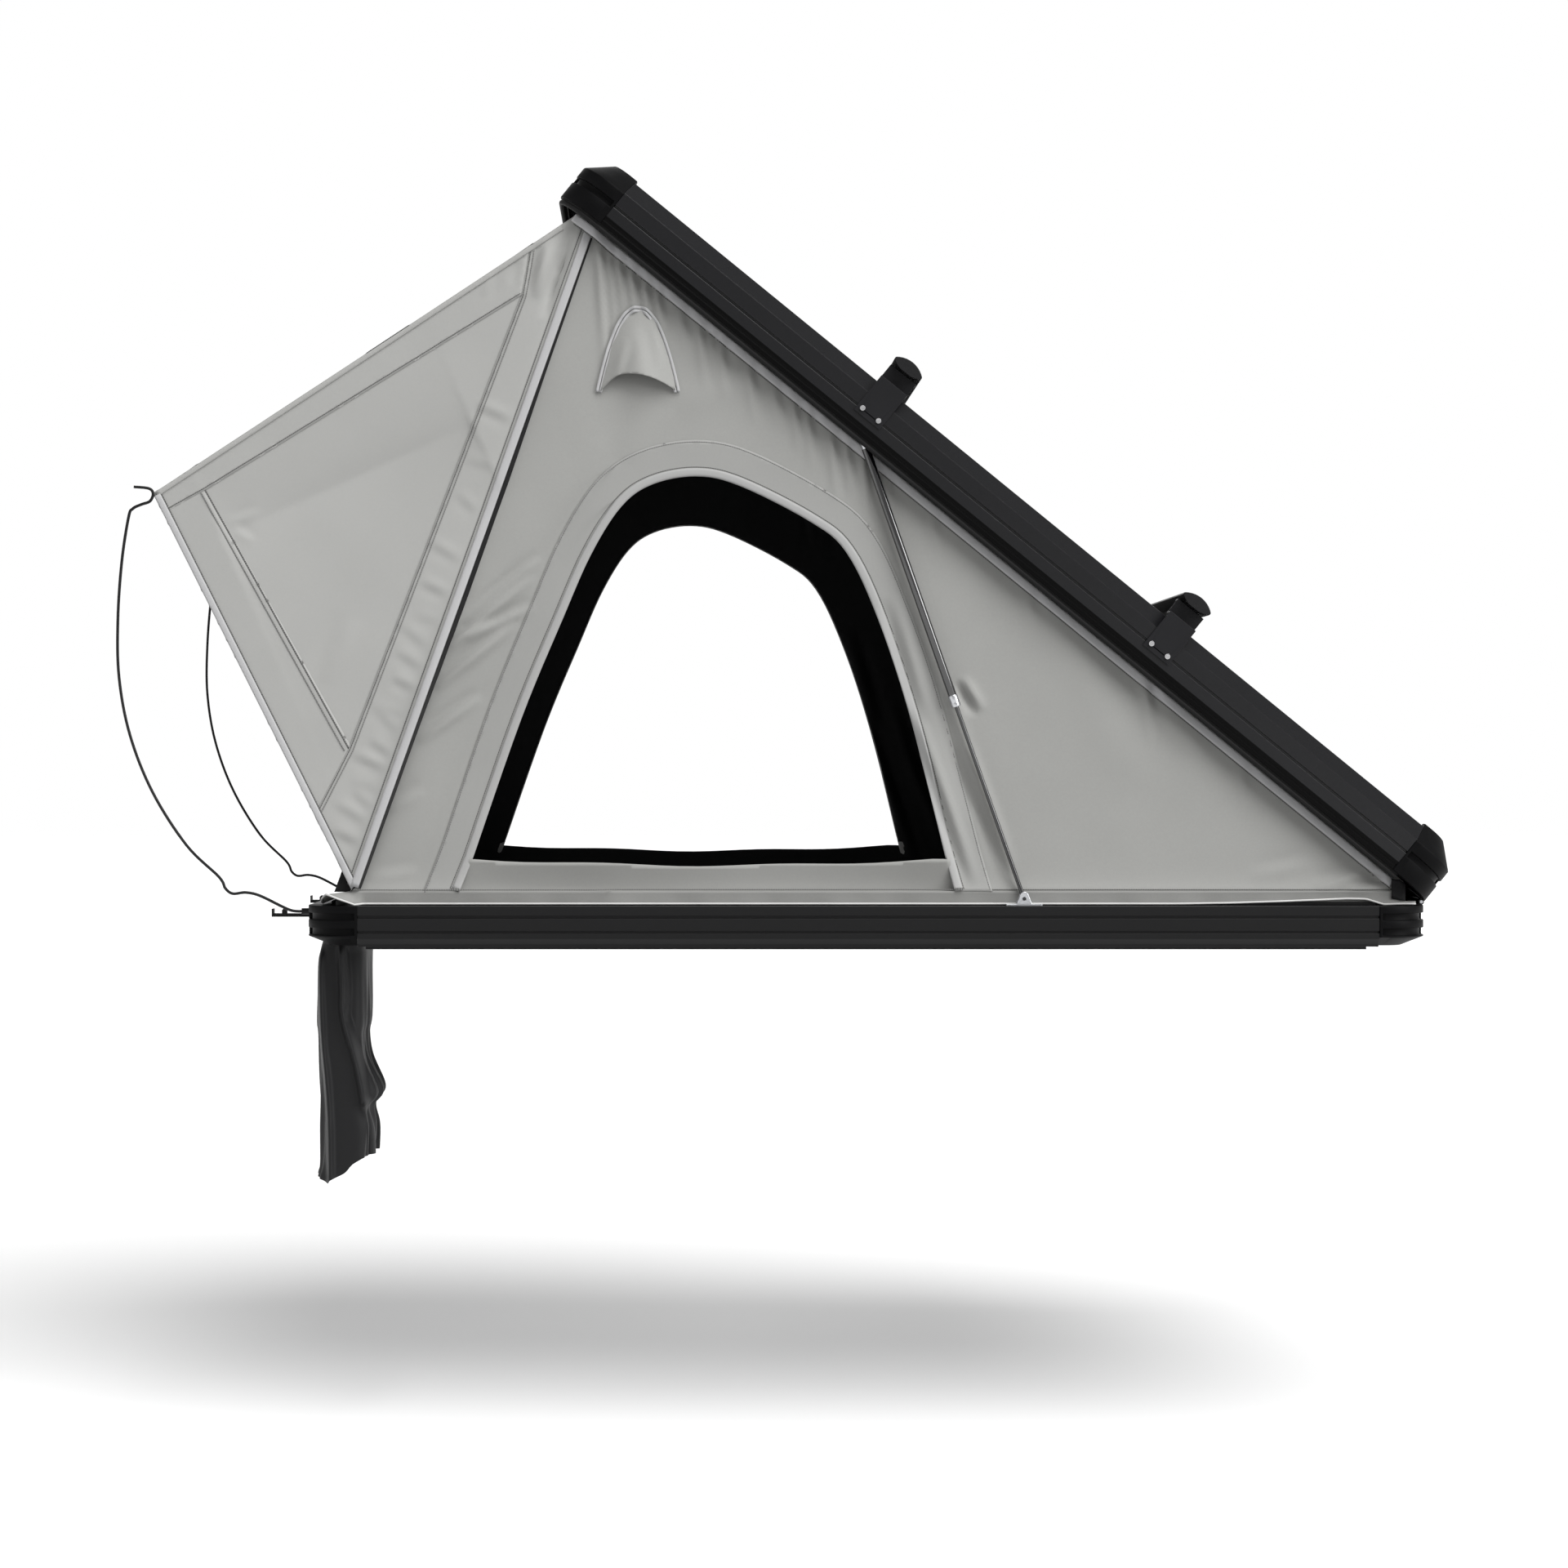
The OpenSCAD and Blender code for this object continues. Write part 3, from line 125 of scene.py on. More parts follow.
floor_paint = bpy.data.materials.new("floor_paint")
floor_paint.use_nodes = True
floor_tree = floor_paint.node_tree
two_ways(floor_tree, "BsdfDiffuse", floor_tree.nodes["Material Output"], 0.4, 1, ["Is Glossy Ray"])
floor_half = 60
floor_signs = ((-1, -1), (1, -1), (1, 1), (-1, 1))
floor_mesh = bpy.data.meshes.new("floor")
floor_corners = [(x * floor_half, y * floor_half, floor_level) for x, y in floor_signs]
floor_mesh.from_pydata(floor_corners, [], [(0, 1, 2, 3)])
floor_mesh.materials.append(floor_paint)
floor = bpy.data.objects.new("floor", floor_mesh)
scene.collection.objects.link(floor)


# Base frame: four extruded aluminium rails with two grooves, joined by cast corners.
# All of it is powder coated black; the castings are a little rougher than the extrusions.
def new_finish(name, colour, rough, **sockets):
    """A material with one shader; further sockets are named with underscores for spaces."""
    material = bpy.data.materials.new(name)
    material.use_nodes = True
    shader = material.node_tree.nodes["Principled BSDF"]
    shader.inputs["Base Color"].default_value = (*colour, 1)
    shader.inputs["Roughness"].default_value = rough
    for key, value in sockets.items():
        shader.inputs[key.replace("_", " ")].default_value = value
    return material


def feed(material, sources):
    """Links nodes' outputs to the named sockets of a material's shader."""
    for socket, source in sources.items():
        material.node_tree.links.new(source, material.node_tree.nodes["Principled BSDF"].inputs[socket])
    return material


def blend(tree, share, dark, light):
    """The colour between two others."""
    return add(tree, "Mix", {0: share, 6: dark, 7: light}, data_type="RGBA").outputs[2]


def mottle(material, cloud, shade, grain, rough_swing, bump):
    """Clouds the colour at one scale, and varies gloss and height at a finer one, both per metre."""
    tree = material.node_tree
    shader = tree.nodes["Principled BSDF"]
    place = add(tree, "TexCoord", {}).outputs["Object"]
    clouds, grains = (add(tree, "TexNoise", {"Vector": place, "Scale": scale, "Detail": 3}).outputs["Fac"]
                      for scale in (cloud, grain))
    colour = np.array(shader.inputs["Base Color"].default_value[:3])
    rough = shader.inputs["Roughness"].default_value
    ends = {"To Min": rough - rough_swing, "To Max": rough + rough_swing}
    gloss = add(tree, "MapRange", {"Value": grains, **ends})
    relief = add(tree, "Bump", {"Strength": 0.5, "Distance": bump, "Height": grains})
    tint = blend(tree, clouds, (*(colour * (1 - shade)), 1), (*(colour * (1 + shade)), 1))
    return feed(material, {"Base Color": tint, "Roughness": gloss.outputs[0], "Normal": relief.outputs[0]})


def dress(names, material, edge=0.0008):
    """Gives solid pieces their finish and a small break along their edges."""
    for name in names:
        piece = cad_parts[name]
        for place in piece.material_slots:
            place.material = material
        weld = piece.modifiers.new("joined_faces", "WELD")
        weld.merge_threshold = 0.000005
        if edge:
            broken = piece.modifiers.new("broken_edges", "BEVEL")
            broken.width = edge
            broken.segments = 2
            broken.limit_method = "ANGLE"
            broken.angle_limit = math.radians(32)


extrusion_coat = mottle(
    new_finish("black_extrusion_coat", (0.002, 0.002, 0.0023), 0.42, Specular_IOR_Level=0.26),
    6, 0.25, 900, 0.07, 0.00006)
casting_coat = mottle(
    new_finish("black_casting_coat", (0.0025, 0.0025, 0.0028), 0.5, Specular_IOR_Level=0.07),
    14, 0.3, 600, 0.09, 0.00012)
dress(["base_left_rail", "base_right_rail", "base_front_rail", "base_rear_rail"], extrusion_coat)
dress(["base_corners"], casting_coat, 0.0014)

# Floor board and mounting rails: a black faced board on the rails' ledges, and two slotted channels under it
# that take the roof bars' bolts.
board_face = mottle(
    new_finish("floor_board_face", (0.014, 0.014, 0.015), 0.55, Specular_IOR_Level=0.2),
    9, 0.3, 420, 0.08, 0.0002)
dress(["floor_panel"], board_face)
dress(["left_mounting_rail", "right_mounting_rail"], extrusion_coat)

# Keder tracks: black aluminium strips with a round channel for the cloth's corded edges.
# They are riveted to the rails of base and lid.
dress(["base_keder_track", "lid_keder_track"], extrusion_coat, 0.0003)

# Hinge: a long knuckle hinge of black coated steel between base and lid.
# Its two leaves turn on one plated pin.
steel_coat = mottle(
    new_finish("black_steel_coat", (0.006, 0.006, 0.0065), 0.4, Specular_IOR_Level=0.2),
    30, 0.3, 900, 0.1, 0.0001)
dress(["hinge_base_leaf", "hinge_lid_leaf"], steel_coat, 0.0003)
plated_steel = mottle(
    new_finish("plated_steel", (0.52, 0.53, 0.55), 0.3, Metallic=1.0),
    40, 0.2, 900, 0.1, 0.00005)
dress(["hinge_pin"], plated_steel, 0.0003)

# Lid: four deep extruded rails and cast corners like the base's, a black roof sheet, a felt headliner
# and a bulb seal of soft rubber. Along the rails' lower edge, painted shade darkens and dulls the coat.
lid_slope = math.radians(39.2)
lid_square = (math.sin(lid_slope), 0, math.cos(lid_slope))
lip_level = 0.7537
lip_blur = 0.0006


def painted_lip_shade(material):
    """Painted shade: below a level square to the lid, the coat turns darker and duller, like a shaded recess.
    """
    tree = material.node_tree
    shader = tree.nodes["Principled BSDF"]
    place = add(tree, "TexCoord", {}).outputs["Object"]
    height = add(tree, "VectorMath", {0: place, 1: lid_square}, operation="DOT_PRODUCT").outputs["Value"]
    ends = {"From Min": lip_level - lip_blur, "From Max": lip_level + lip_blur}
    unshaded = add(tree, "MapRange", {"Value": height, **ends}).outputs[0]
    tint = blend(tree, unshaded, (0.0025, 0.0025, 0.0025, 1), shader.inputs["Base Color"].links[0].from_socket)
    coat_shine = shader.inputs["Specular IOR Level"].default_value
    shine = add(tree, "MapRange", {"Value": unshaded, "To Min": 0.07, "To Max": coat_shine}).outputs[0]
    return feed(material, {"Base Color": tint, "Specular IOR Level": shine})


# The lid rails' coat, with a band of painted shade along their lower edge
lid_coat = painted_lip_shade(mottle(
    new_finish("black_lid_coat", (0.0035, 0.0035, 0.0046), 0.3, Specular_IOR_Level=0.4),
    6, 0.25, 900, 0.07, 0.00006))
dress(["lid_left_rail", "lid_right_rail", "lid_front_rail", "lid_rear_rail"], lid_coat)
dress(["lid_corners"], casting_coat, 0.0016)
roof_skin = mottle(
    new_finish("roof_sheet_skin", (0.009, 0.009, 0.0098), 0.5, Specular_IOR_Level=0.2),
    5, 0.25, 350, 0.08, 0.0003)
dress(["roof_panel"], roof_skin)
felt = mottle(
    new_finish("headliner_felt", (0.02, 0.02, 0.021), 0.95, Specular_IOR_Level=0.1, Sheen_Weight=0.4),
    30, 0.35, 1400, 0.04, 0.0006)
dress(["headliner"], felt, 0.002)
rubber = mottle(
    new_finish("seal_rubber", (0.005, 0.005, 0.005), 0.6, Specular_IOR_Level=0.2),
    50, 0.3, 800, 0.1, 0.00008)
dress(["lid_seal"], rubber, 0)

# Load bars: hollow lens-shaped bars with plastic end caps.
# They sit on joggled plates that are bolted into the lid rails' grooves.
dress(["front_load_bar", "rear_load_bar"], extrusion_coat)
cap_plastic = mottle(
    new_finish("black_cap_plastic", (0.009, 0.009, 0.0098), 0.48, Specular_IOR_Level=0.22),
    30, 0.25, 1100, 0.06, 0.00015)
dress(["load_bar_caps"], cap_plastic, 0.0012)
plate_coat = mottle(
    new_finish("black_plate_coat", (0.0115, 0.0115, 0.013), 0.45, Specular_IOR_Level=0.18),
    12, 0.25, 800, 0.07, 0.0001)
dress(["load_bar_brackets"], plate_coat, 0.0009)
bolt_steel = mottle(
    new_finish("bolt_steel", (0.72, 0.72, 0.73), 0.22, Metallic=1.0),
    90, 0.2, 1500, 0.08, 0.00003)
dress(["bracket_bolts"], bolt_steel, 0.0005)

# Latches and rod sockets: black steel levers on plated pins at the front, hooked over ledges on the lid,
# and two short sockets for the awning's rods.
dress(["latch_plates", "latch_catches", "left_latch_lever", "right_latch_lever", "rod_sockets"], steel_coat)
dress(["latch_pins"], plated_steel, 0.0004)

# Gas struts: a dark nitrided rod on a zinc plated bracket slides in a glossy black tube.
# The tube ends at the lid's stud, with a turned collar at its lower end and a short ferrule at its upper one.
tube_paint = mottle(
    new_finish("strut_tube_paint", (0.006, 0.006, 0.0065), 0.14, Specular_IOR_Level=1.0, Coat_Weight=0.6),
    20, 0.2, 300, 0.03, 0.00002)
rod_steel = mottle(
    new_finish("nitrided_rod", (0.01, 0.01, 0.0105), 0.11, Specular_IOR_Level=1.0),
    60, 0.15, 900, 0.05, 0.00001)
zinc = mottle(
    new_finish("zinc_plate", (0.58, 0.59, 0.61), 0.32, Metallic=1.0),
    35, 0.18, 700, 0.1, 0.00006)
dress(["left_strut_tube", "right_strut_tube"], tube_paint, 0.0006)
dress(["left_strut_rod", "right_strut_rod"], rod_steel, 0.0004)
dress(["strut_base_brackets", "strut_lid_brackets"], zinc, 0.0006)
pin_steel = mottle(
    new_finish("burnished_pin_steel", (0.07, 0.07, 0.072), 0.35, Metallic=1.0),
    60, 0.2, 900, 0.08, 0.00003)
dress(["strut_base_pins"], pin_steel, 0.0004)


def new_piece(name, points, faces, materials):
    """A smooth-shaded mesh of points and faces."""
    mesh = bpy.data.meshes.new(name)
    mesh.from_pydata(np.asarray(points).tolist(), [], [tuple(int(i) for i in f) for f in faces])
    mesh.polygons.foreach_set("use_smooth", [True] * len(mesh.polygons))
    for material in materials:
        mesh.materials.append(material)
    piece = bpy.data.objects.new(name, mesh)
    scene.collection.objects.link(piece)
    return piece


def swept_faces(rings, sides, closed=False):
    """Quads between neighbouring rings, and a cap at each end of an open sweep."""
    faces = []
    for i in range(rings if closed else rings - 1):
        here, there = i * sides, (i + 1) % rings * sides
        for k in range(sides):
            after = (k + 1) % sides
            faces.append((here + k, here + after, there + after, there + k))
    if not closed:
        faces += [tuple(range(sides - 1, -1, -1)), tuple(range((rings - 1) * sides, rings * sides))]
    return faces


def grid_faces(cols, rows):
    """Quads between the points of a grid that is given row by row."""
    return [(j * cols + i, j * cols + i + 1, (j + 1) * cols + i + 1, (j + 1) * cols + i)
            for j in range(rows - 1) for i in range(cols - 1)]


def turned_piece(name, start, way, profile, material, sides=40):
    """A lathe form along a line: profile gives the distance along it and the radius."""
    way = Vector(way).normalized()
    across = way.orthogonal().normalized()
    other = way.cross(across)
    points = []
    for reach, radius in profile:
        for k in range(sides):
            turn = 2 * math.pi * k / sides
            spoke = math.cos(turn) * across + math.sin(turn) * other
            points.append(Vector(start) + reach * way + radius * spoke)
    piece = new_piece(name, [tuple(p) for p in points], swept_faces(len(profile), sides), [material])
    rim = piece.modifiers.new("broken_edges", "BEVEL")
    rim.width = 0.0004
    rim.limit_method = "ANGLE"
    return piece


collar_profile = [(0, 0.0046), (0, 0.0084), (0.003, 0.009), (0.0075, 0.009), (0.0085, 0.0086),
                  (0.0095, 0.009), (0.021, 0.009), (0.023, 0.0082)]
ferrule_profile = [(0, 0.0045), (0, 0.0066), (0.004, 0.007), (0.014, 0.007), (0.016, 0.006)]
strut_eye, tube_len = 0.0075, 0.53
for hand in ("left", "right"):
    low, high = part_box(f"{hand}_strut_tube")
    rod_low, rod_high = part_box(f"{hand}_strut_rod")
    middle = (low.y + high.y) / 2
    foot = Vector((rod_high.x - strut_eye, middle, rod_low.z + strut_eye))
    head = Vector((low.x + strut_eye, middle, high.z - strut_eye))
    way = (head - foot).normalized()
    tube_end = head - tube_len * way
    collar = turned_piece(f"{hand}_strut_collar", tube_end - 0.004 * way, way, collar_profile, zinc)
    ferrule = turned_piece(f"{hand}_strut_ferrule", head - 0.025 * way, way, ferrule_profile, zinc)
    for fitting in (collar, ferrule):
        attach(fitting, f"{hand}_tube")

# Mattress: a foam pad in a quilted cover, crowned in the middle, its sides drawn in between the corners,
# with a corded seam around its upper edge.
low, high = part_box("mattress")
pad_cells = (120, 72)
pad_rim, pad_side, pad_pinch = 0.004, 0.042, 0.007
quilt_step, quilt_rise = 0.3, 0.0022


def cover_finish(name, colour, cell):
    """Soft woven cover cloth, with so many threads to the metre."""
    material = new_finish(name, colour, 0.85, Specular_IOR_Level=0.25, Sheen_Weight=0.15)
    return mottle(material, 12, 0.12, cell, 0.05, 0.0005)


cover_cloth = cover_finish("mattress_cover", (0.2, 0.2, 0.2), 900)
cover_cord = cover_finish("mattress_cord", (0.1, 0.1, 0.1), 1200)


def pad_point(a, b, share):
    """A point of the pad: a and b from -1 to 1 across it, share from 0 at its floor to 1 at its top."""
    half = (high - low) / 2
    drawn_a = a * (half.x - pad_rim - pad_pinch * (1 - b * b))
    drawn_b = b * (half.y - pad_rim - pad_pinch * (1 - a * a))
    edge = (1 - abs(a) ** 24) * (1 - abs(b) ** 24)
    cells = abs(math.sin(math.pi * drawn_a / quilt_step) * math.sin(math.pi * drawn_b / quilt_step))
    quilt = quilt_rise * cells ** 0.6
    top = pad_side + 0.006 * edge + 0.003 * (1 - a * a) * (1 - b * b) + quilt * edge
    return (drawn_a + (low.x + high.x) / 2, drawn_b + (low.y + high.y) / 2, low.z + share * top)


def pad_spot(i, n):
    """Even steps, closer together near the edge."""
    t = 2 * i / n - 1
    return math.copysign(1 - (1 - abs(t)) ** 1.15, t)


spots_a = [pad_spot(i, pad_cells[0]) for i in range(pad_cells[0] + 1)]
spots_b = [pad_spot(j, pad_cells[1]) for j in range(pad_cells[1] + 1)]
pad_cols = len(spots_a)
pad_top = [pad_point(a, b, 1) for b in spots_b for a in spots_a]
pad_faces = grid_faces(pad_cols, len(spots_b))
last_a, last_b = pad_cells
rim_round = [(i, 0) for i in range(last_a)] + [(last_a, j) for j in range(last_b)]
rim_round += [(i, last_b) for i in range(last_a, 0, -1)] + [(0, j) for j in range(last_b, 0, -1)]
pad_points = list(pad_top)
rim_rows = [[j * pad_cols + i for i, j in rim_round]]
bulge_rows = [(0.85, 0.0025), (0.5, 0.004), (0.15, 0.0025), (0, 0)]
for share, bulge in bulge_rows:
    rim_rows.append(range(len(pad_points), len(pad_points) + len(rim_round)))
    for i, j in rim_round:
        x, y, z = pad_point(spots_a[i], spots_b[j], share)
        out_x = (i == last_a) - (i == 0)
        out_y = (j == last_b) - (j == 0)
        pad_points.append((x + bulge * out_x, y + bulge * out_y, z))
for upper, lower in zip(rim_rows, rim_rows[1:]):
    count = len(rim_round)
    pad_faces += [(lower[k], lower[(k + 1) % count], upper[(k + 1) % count], upper[k]) for k in range(count)]
pad_faces.append(tuple(reversed(list(rim_rows[-1]))))
mattress = new_piece("mattress_pad", pad_points, pad_faces, [cover_cloth])
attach(mattress, "base")
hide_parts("mattress")


def tube_along(name, points, radius, material, sides=12, closed=False):
    """A round cord or wire along a smooth row of points."""
    points = [Vector(p) for p in points]
    count = len(points)
    lift = Vector((0, 0, 1))
    rings = []
    for i, p in enumerate(points):
        ahead = points[(i + 1) % count] if closed else points[min(i + 1, count - 1)]
        behind = points[i - 1] if closed or i else points[0]
        way = (ahead - behind).normalized()
        lift = (lift - lift.dot(way) * way).normalized() if abs(lift.dot(way)) < 0.999 else way.orthogonal()
        other = way.cross(lift)
        for k in range(sides):
            turn = 2 * math.pi * k / sides
            rings.append(tuple(p + radius * (math.cos(turn) * lift + math.sin(turn) * other)))
    return new_piece(name, rings, swept_faces(count, sides, closed), [material])


cord_points = [Vector(pad_points[k]) + Vector((0, 0, -0.002)) for k in rim_rows[0]]
pad_cord = tube_along("mattress_corded_seam", cord_points, 0.003, cover_cord, 8, closed=True)
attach(pad_cord, "base")

# Side walls: grey canvas with a black lining, held by corded edges in the tracks of base and lid.
# Each has an arched window with a sewn-on facing and a pale binding, and a tape below the lid.
weave_step, stitch_step = 0.0011, 0.0045
# A wave texture of scale 1 repeats after this many metres
wave_length = math.pi / 10


def canvas_finish(name, colour, shade=0.05, rough=0.8):
    """Woven cloth: soft clouding in its colour, and a fine plain weave laid out in the cloth's own metres."""
    material = new_finish(name, colour, rough, Specular_IOR_Level=0.22, Sheen_Weight=0.06)
    tree = material.node_tree
    place = add(tree, "TexCoord", {}).outputs
    clouds, flecks = (
        add(tree, "TexNoise", {"Vector": place["Object"], "Scale": scale, "Detail": 4}).outputs["Fac"]
        for scale in (5, 260))
    half = add(tree, "Math", {0: clouds, 1: 0.55}, operation="MULTIPLY").outputs[0]
    both = add(tree, "Math", {0: flecks, 1: 0.45, 2: half}, operation="MULTIPLY_ADD").outputs[0]
    dark, light = (np.array(colour) * (1 + 2 * way * shade) for way in (-1, 1))
    weave = {"Vector": place["UV"], "Scale": wave_length / weave_step}
    warp, weft = (add(tree, "TexWave", weave, bands_direction=way).outputs["Fac"] for way in ("X", "Y"))
    crossed = add(tree, "Math", {0: warp, 1: weft}, operation="MAXIMUM").outputs[0]
    relief = add(tree, "Bump", {"Strength": 0.3, "Distance": 0.0002, "Height": crossed}).outputs[0]
    return feed(material, {"Base Color": blend(tree, both, (*dark, 1), (*light, 1)), "Normal": relief})


def thread_finish(name, light, dark):
    """Sewing thread from above: pale stitches along the strip, with painted shade between them."""
    material = new_finish(name, light, 0.8, Specular_IOR_Level=0.2)
    tree = material.node_tree
    along = add(tree, "TexCoord", {}).outputs["UV"]
    wave = add(tree, "TexWave", {"Vector": along, "Scale": wave_length / stitch_step}).outputs["Fac"]
    return feed(material, {"Base Color": blend(tree, wave, (*dark, 1), (*light, 1))})


canvas = canvas_finish("grey_canvas", (0.352, 0.352, 0.339))
facing_canvas = canvas_finish("grey_facing_canvas", (0.352, 0.352, 0.341), 0.04)
pale_tape = canvas_finish("pale_binding_tape", (0.48, 0.48, 0.485), 0.03, 0.7)
window_tape = canvas_finish("grey_window_tape", (0.41, 0.41, 0.405), 0.03, 0.7)
# The lid's tape is pale, and is brighter still than the binding tape as painted light against the shade under
# the lid
lid_tape = canvas_finish("pale_and_brightened_lid_tape", (0.57, 0.57, 0.58), 0.03, 0.7)
lining = canvas_finish("black_lining", (0.0065, 0.0065, 0.007), 0.12, 0.75)
# Each thread's second colour is the painted shade between its stitches
seam_thread = thread_finish("seam_thread", (0.2, 0.2, 0.193), (0.085, 0.085, 0.083))
pale_thread = thread_finish("pale_seam_thread", (0.27, 0.27, 0.262), (0.15, 0.15, 0.146))
white_cord = canvas_finish("white_piping", (0.68, 0.68, 0.67), 0.03, 0.6)


def spaced(path, step, closed=True):
    """The same outline or path with points at even steps along each of its sides."""
    path = np.asarray(path, float)
    ends = np.roll(path, -1, axis=0) if closed else path[1:]
    points = []
    for start, end in zip(path, ends):
        count = max(1, round(np.linalg.norm(end - start) / step))
        points += [start + (end - start) * k / count for k in range(count)]
    return np.array(points if closed else points + [path[-1]])


def inside(points, outline):
    """Which points lie within an outline."""
    x, z = points[:, 0], points[:, 1]
    found = np.zeros(len(points), bool)
    for (ax, az), (bx, bz) in zip(outline, np.roll(outline, -1, axis=0)):
        if az != bz:
            found ^= ((az > z) != (bz > z)) & (x < (bx - ax) * (z - az) / (bz - az) + ax)
    return found


def cut_cloth(outline, holes=(), step=0.007):
    """Triangles of a flat cloth cut: its outline, less its holes, filled with an even grid of points."""
    rims = [spaced(loop, step) for loop in (outline, *holes)]
    clear = 0.55 * step
    low, high = rims[0].min(axis=0), rims[0].max(axis=0)
    grid = []
    for k, z in enumerate(np.arange(low[1], high[1], step * math.sqrt(3) / 2)):
        grid += [(x, z) for x in np.arange(low[0] + step / 2 * (k % 2), high[0], step)]
    grid = np.array(grid)
    edge_points = np.concatenate(rims)
    tree = kdtree.KDTree(len(edge_points))
    for i, (x, z) in enumerate(edge_points):
        tree.insert((x, z, 0), i)
    tree.balance()
    grid = grid[inside(grid, rims[0])]
    grid = grid[[tree.find((x, z, 0))[2] > clear for x, z in grid]]
    edges = []
    for rim in rims:
        first = len(edges)
        edges += [(first + i, first + (i + 1) % len(rim)) for i in range(len(rim))]
    found = delaunay_2d_cdt([Vector(p) for p in np.concatenate([edge_points, grid])], edges, [], 0, 1e-7)
    flat, faces = np.array(found[0]), np.array(found[2])
    middles = flat[faces].mean(axis=1)
    kept = inside(middles, rims[0])
    for rim in rims[1:]:
        kept &= ~inside(middles, rim)
    faces = faces[kept]
    used = np.unique(faces)
    renumbered = np.full(len(flat), -1)
    renumbered[used] = np.arange(len(used))
    return flat[used], renumbered[faces]


def thicken(piece, thickness, inner_material=0):
    """Gives cloth its thickness, inwards from the surface that was made."""
    made = piece.modifiers.new("cloth_thickness", "SOLIDIFY")
    made.thickness = thickness
    made.offset = -1
    made.material_offset = inner_material


def sew(name, place, flat, faces, out, materials, flip=False, thickness=0.0012):
    """A cloth piece: its flat points set in space by place(flat, out), thickened inwards."""
    piece = new_piece(name, place(flat, out), faces[:, ::-1] if flip else faces, materials)
    lay_uv(piece, flat)
    thicken(piece, thickness, len(materials) - 1)
    return piece


def lay_uv(piece, flat):
    """Gives a piece its cloth's own metres as texture coordinates."""
    corners = np.empty(len(piece.data.loops), int)
    piece.data.loops.foreach_get("vertex_index", corners)
    layer = piece.data.uv_layers.new(name="cloth_metres")
    layer.data.foreach_set("uv", np.asarray(flat)[corners].ravel())


def left_of(path):
    """Unit directions to the left of each point's heading along a path."""
    way = np.gradient(path, axis=0)
    way /= np.linalg.norm(way, axis=1)[:, None]
    return np.column_stack([-way[:, 1], way[:, 0]])


def sew_strip(name, place, path, width, height, surface, material, flip=False, sides=10, step=0.008):
    """A tape with rolled edges, sewn along a path on the cloth whose height surface(points) gives."""
    path = spaced(path, step, closed=False)
    across = left_of(path)
    sunk = 0.0006
    turns = 2 * math.pi * np.arange(sides) / sides
    reach = width / 2 * np.sign(np.cos(turns)) * abs(np.cos(turns)) ** 0.6
    rise = height / 2 + height / 2 * np.sign(np.sin(turns)) * abs(np.sin(turns)) ** 0.8
    flat = (path[:, None, :] + across[:, None, :] * reach[None, :, None]).reshape(-1, 2)
    out = surface(flat) + np.tile(rise, len(path)) - sunk
    faces = swept_faces(len(path), sides)
    piece = new_piece(name, place(flat, out), [f if flip else f[::-1] for f in faces], [material])
    run = np.concatenate([[0], np.cumsum(np.linalg.norm(np.diff(path, axis=0), axis=1))])
    lay_uv(piece, np.column_stack([np.repeat(run, sides), np.tile(reach, len(path))]))
    return piece


def raised(surface, lift):
    """The height of a surface a little above another."""
    def height(points):
        return surface(points) + lift
    return height


def crease(points, start, end, width, depth, hang=False):
    """A fold: a ridge beside a hollow, fading at both ends, or only at the lower one if it hangs."""
    start, end = np.array(start), np.array(end)
    length = np.linalg.norm(end - start)
    way = (end - start) / length
    along = (points - start) @ way / length
    aside = (points - start) @ np.array([-way[1], way[0]]) / width
    held = np.clip(along, 0, 1)
    fade = np.clip(8 * held, 0, 1) * (1 - held) if hang else np.sin(math.pi * held) ** 0.8
    fade = fade * ((along > 0) & (along < 1))
    return depth * fade * (np.exp(-aside ** 2) - 0.7 * np.exp(-(aside - 1.5) ** 2))


def ripple(points, per_metre, seed):
    """Smooth random waves, so many to the metre."""
    return np.array([noise.noise(Vector((x * per_metre, z * per_metre, seed))) for x, z in points])


def smooth_path(points, steps=6):
    """A smooth curve through a few points."""
    p = np.asarray(points, float)
    before, after = np.vstack([p[:1], p[:-2]]), np.vstack([p[2:], p[-1:]])
    rows = []
    for a, b, c, d in zip(before, p[:-1], p[1:], after):
        for t in np.arange(steps) / steps:
            rows.append(0.5 * (2 * b + (c - a) * t + (2 * a - 5 * b + 4 * c - d) * t * t
                               + (3 * b - a - 3 * c + d) * t ** 3))
    return np.array(rows + [p[-1]])


wall_points = np.array([v.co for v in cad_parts["left_wall"].data.vertices])[:, [0, 2]]
wall_face = -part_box("left_wall")[0].y
wall_top = wall_points[wall_points[:, 1].argmax()]
wall_foot = wall_points[wall_points[:, 0].argmin()]
wall_rear = wall_points[:, 0].max()
wall_heel = np.array([wall_rear, wall_foot[1]])
wall_tail = np.array([wall_rear, wall_points[wall_points[:, 0] > wall_rear - 1e-5][:, 1].max()])
lid_fall = (wall_top[1] - wall_tail[1]) / (wall_tail[0] - wall_top[0])
lid_slant = math.sqrt(1 + lid_fall ** 2)
wall_edge_way = (wall_top - wall_foot) / np.linalg.norm(wall_top - wall_foot)
wall_edge_side = np.array([wall_edge_way[1], -wall_edge_way[0]])


def under_lid(x, drop):
    """A point of the wall at x, a distance square to the lid below the wall's upper edge."""
    return np.array([x, wall_top[1] - (x - wall_top[0]) * lid_fall - drop * lid_slant])


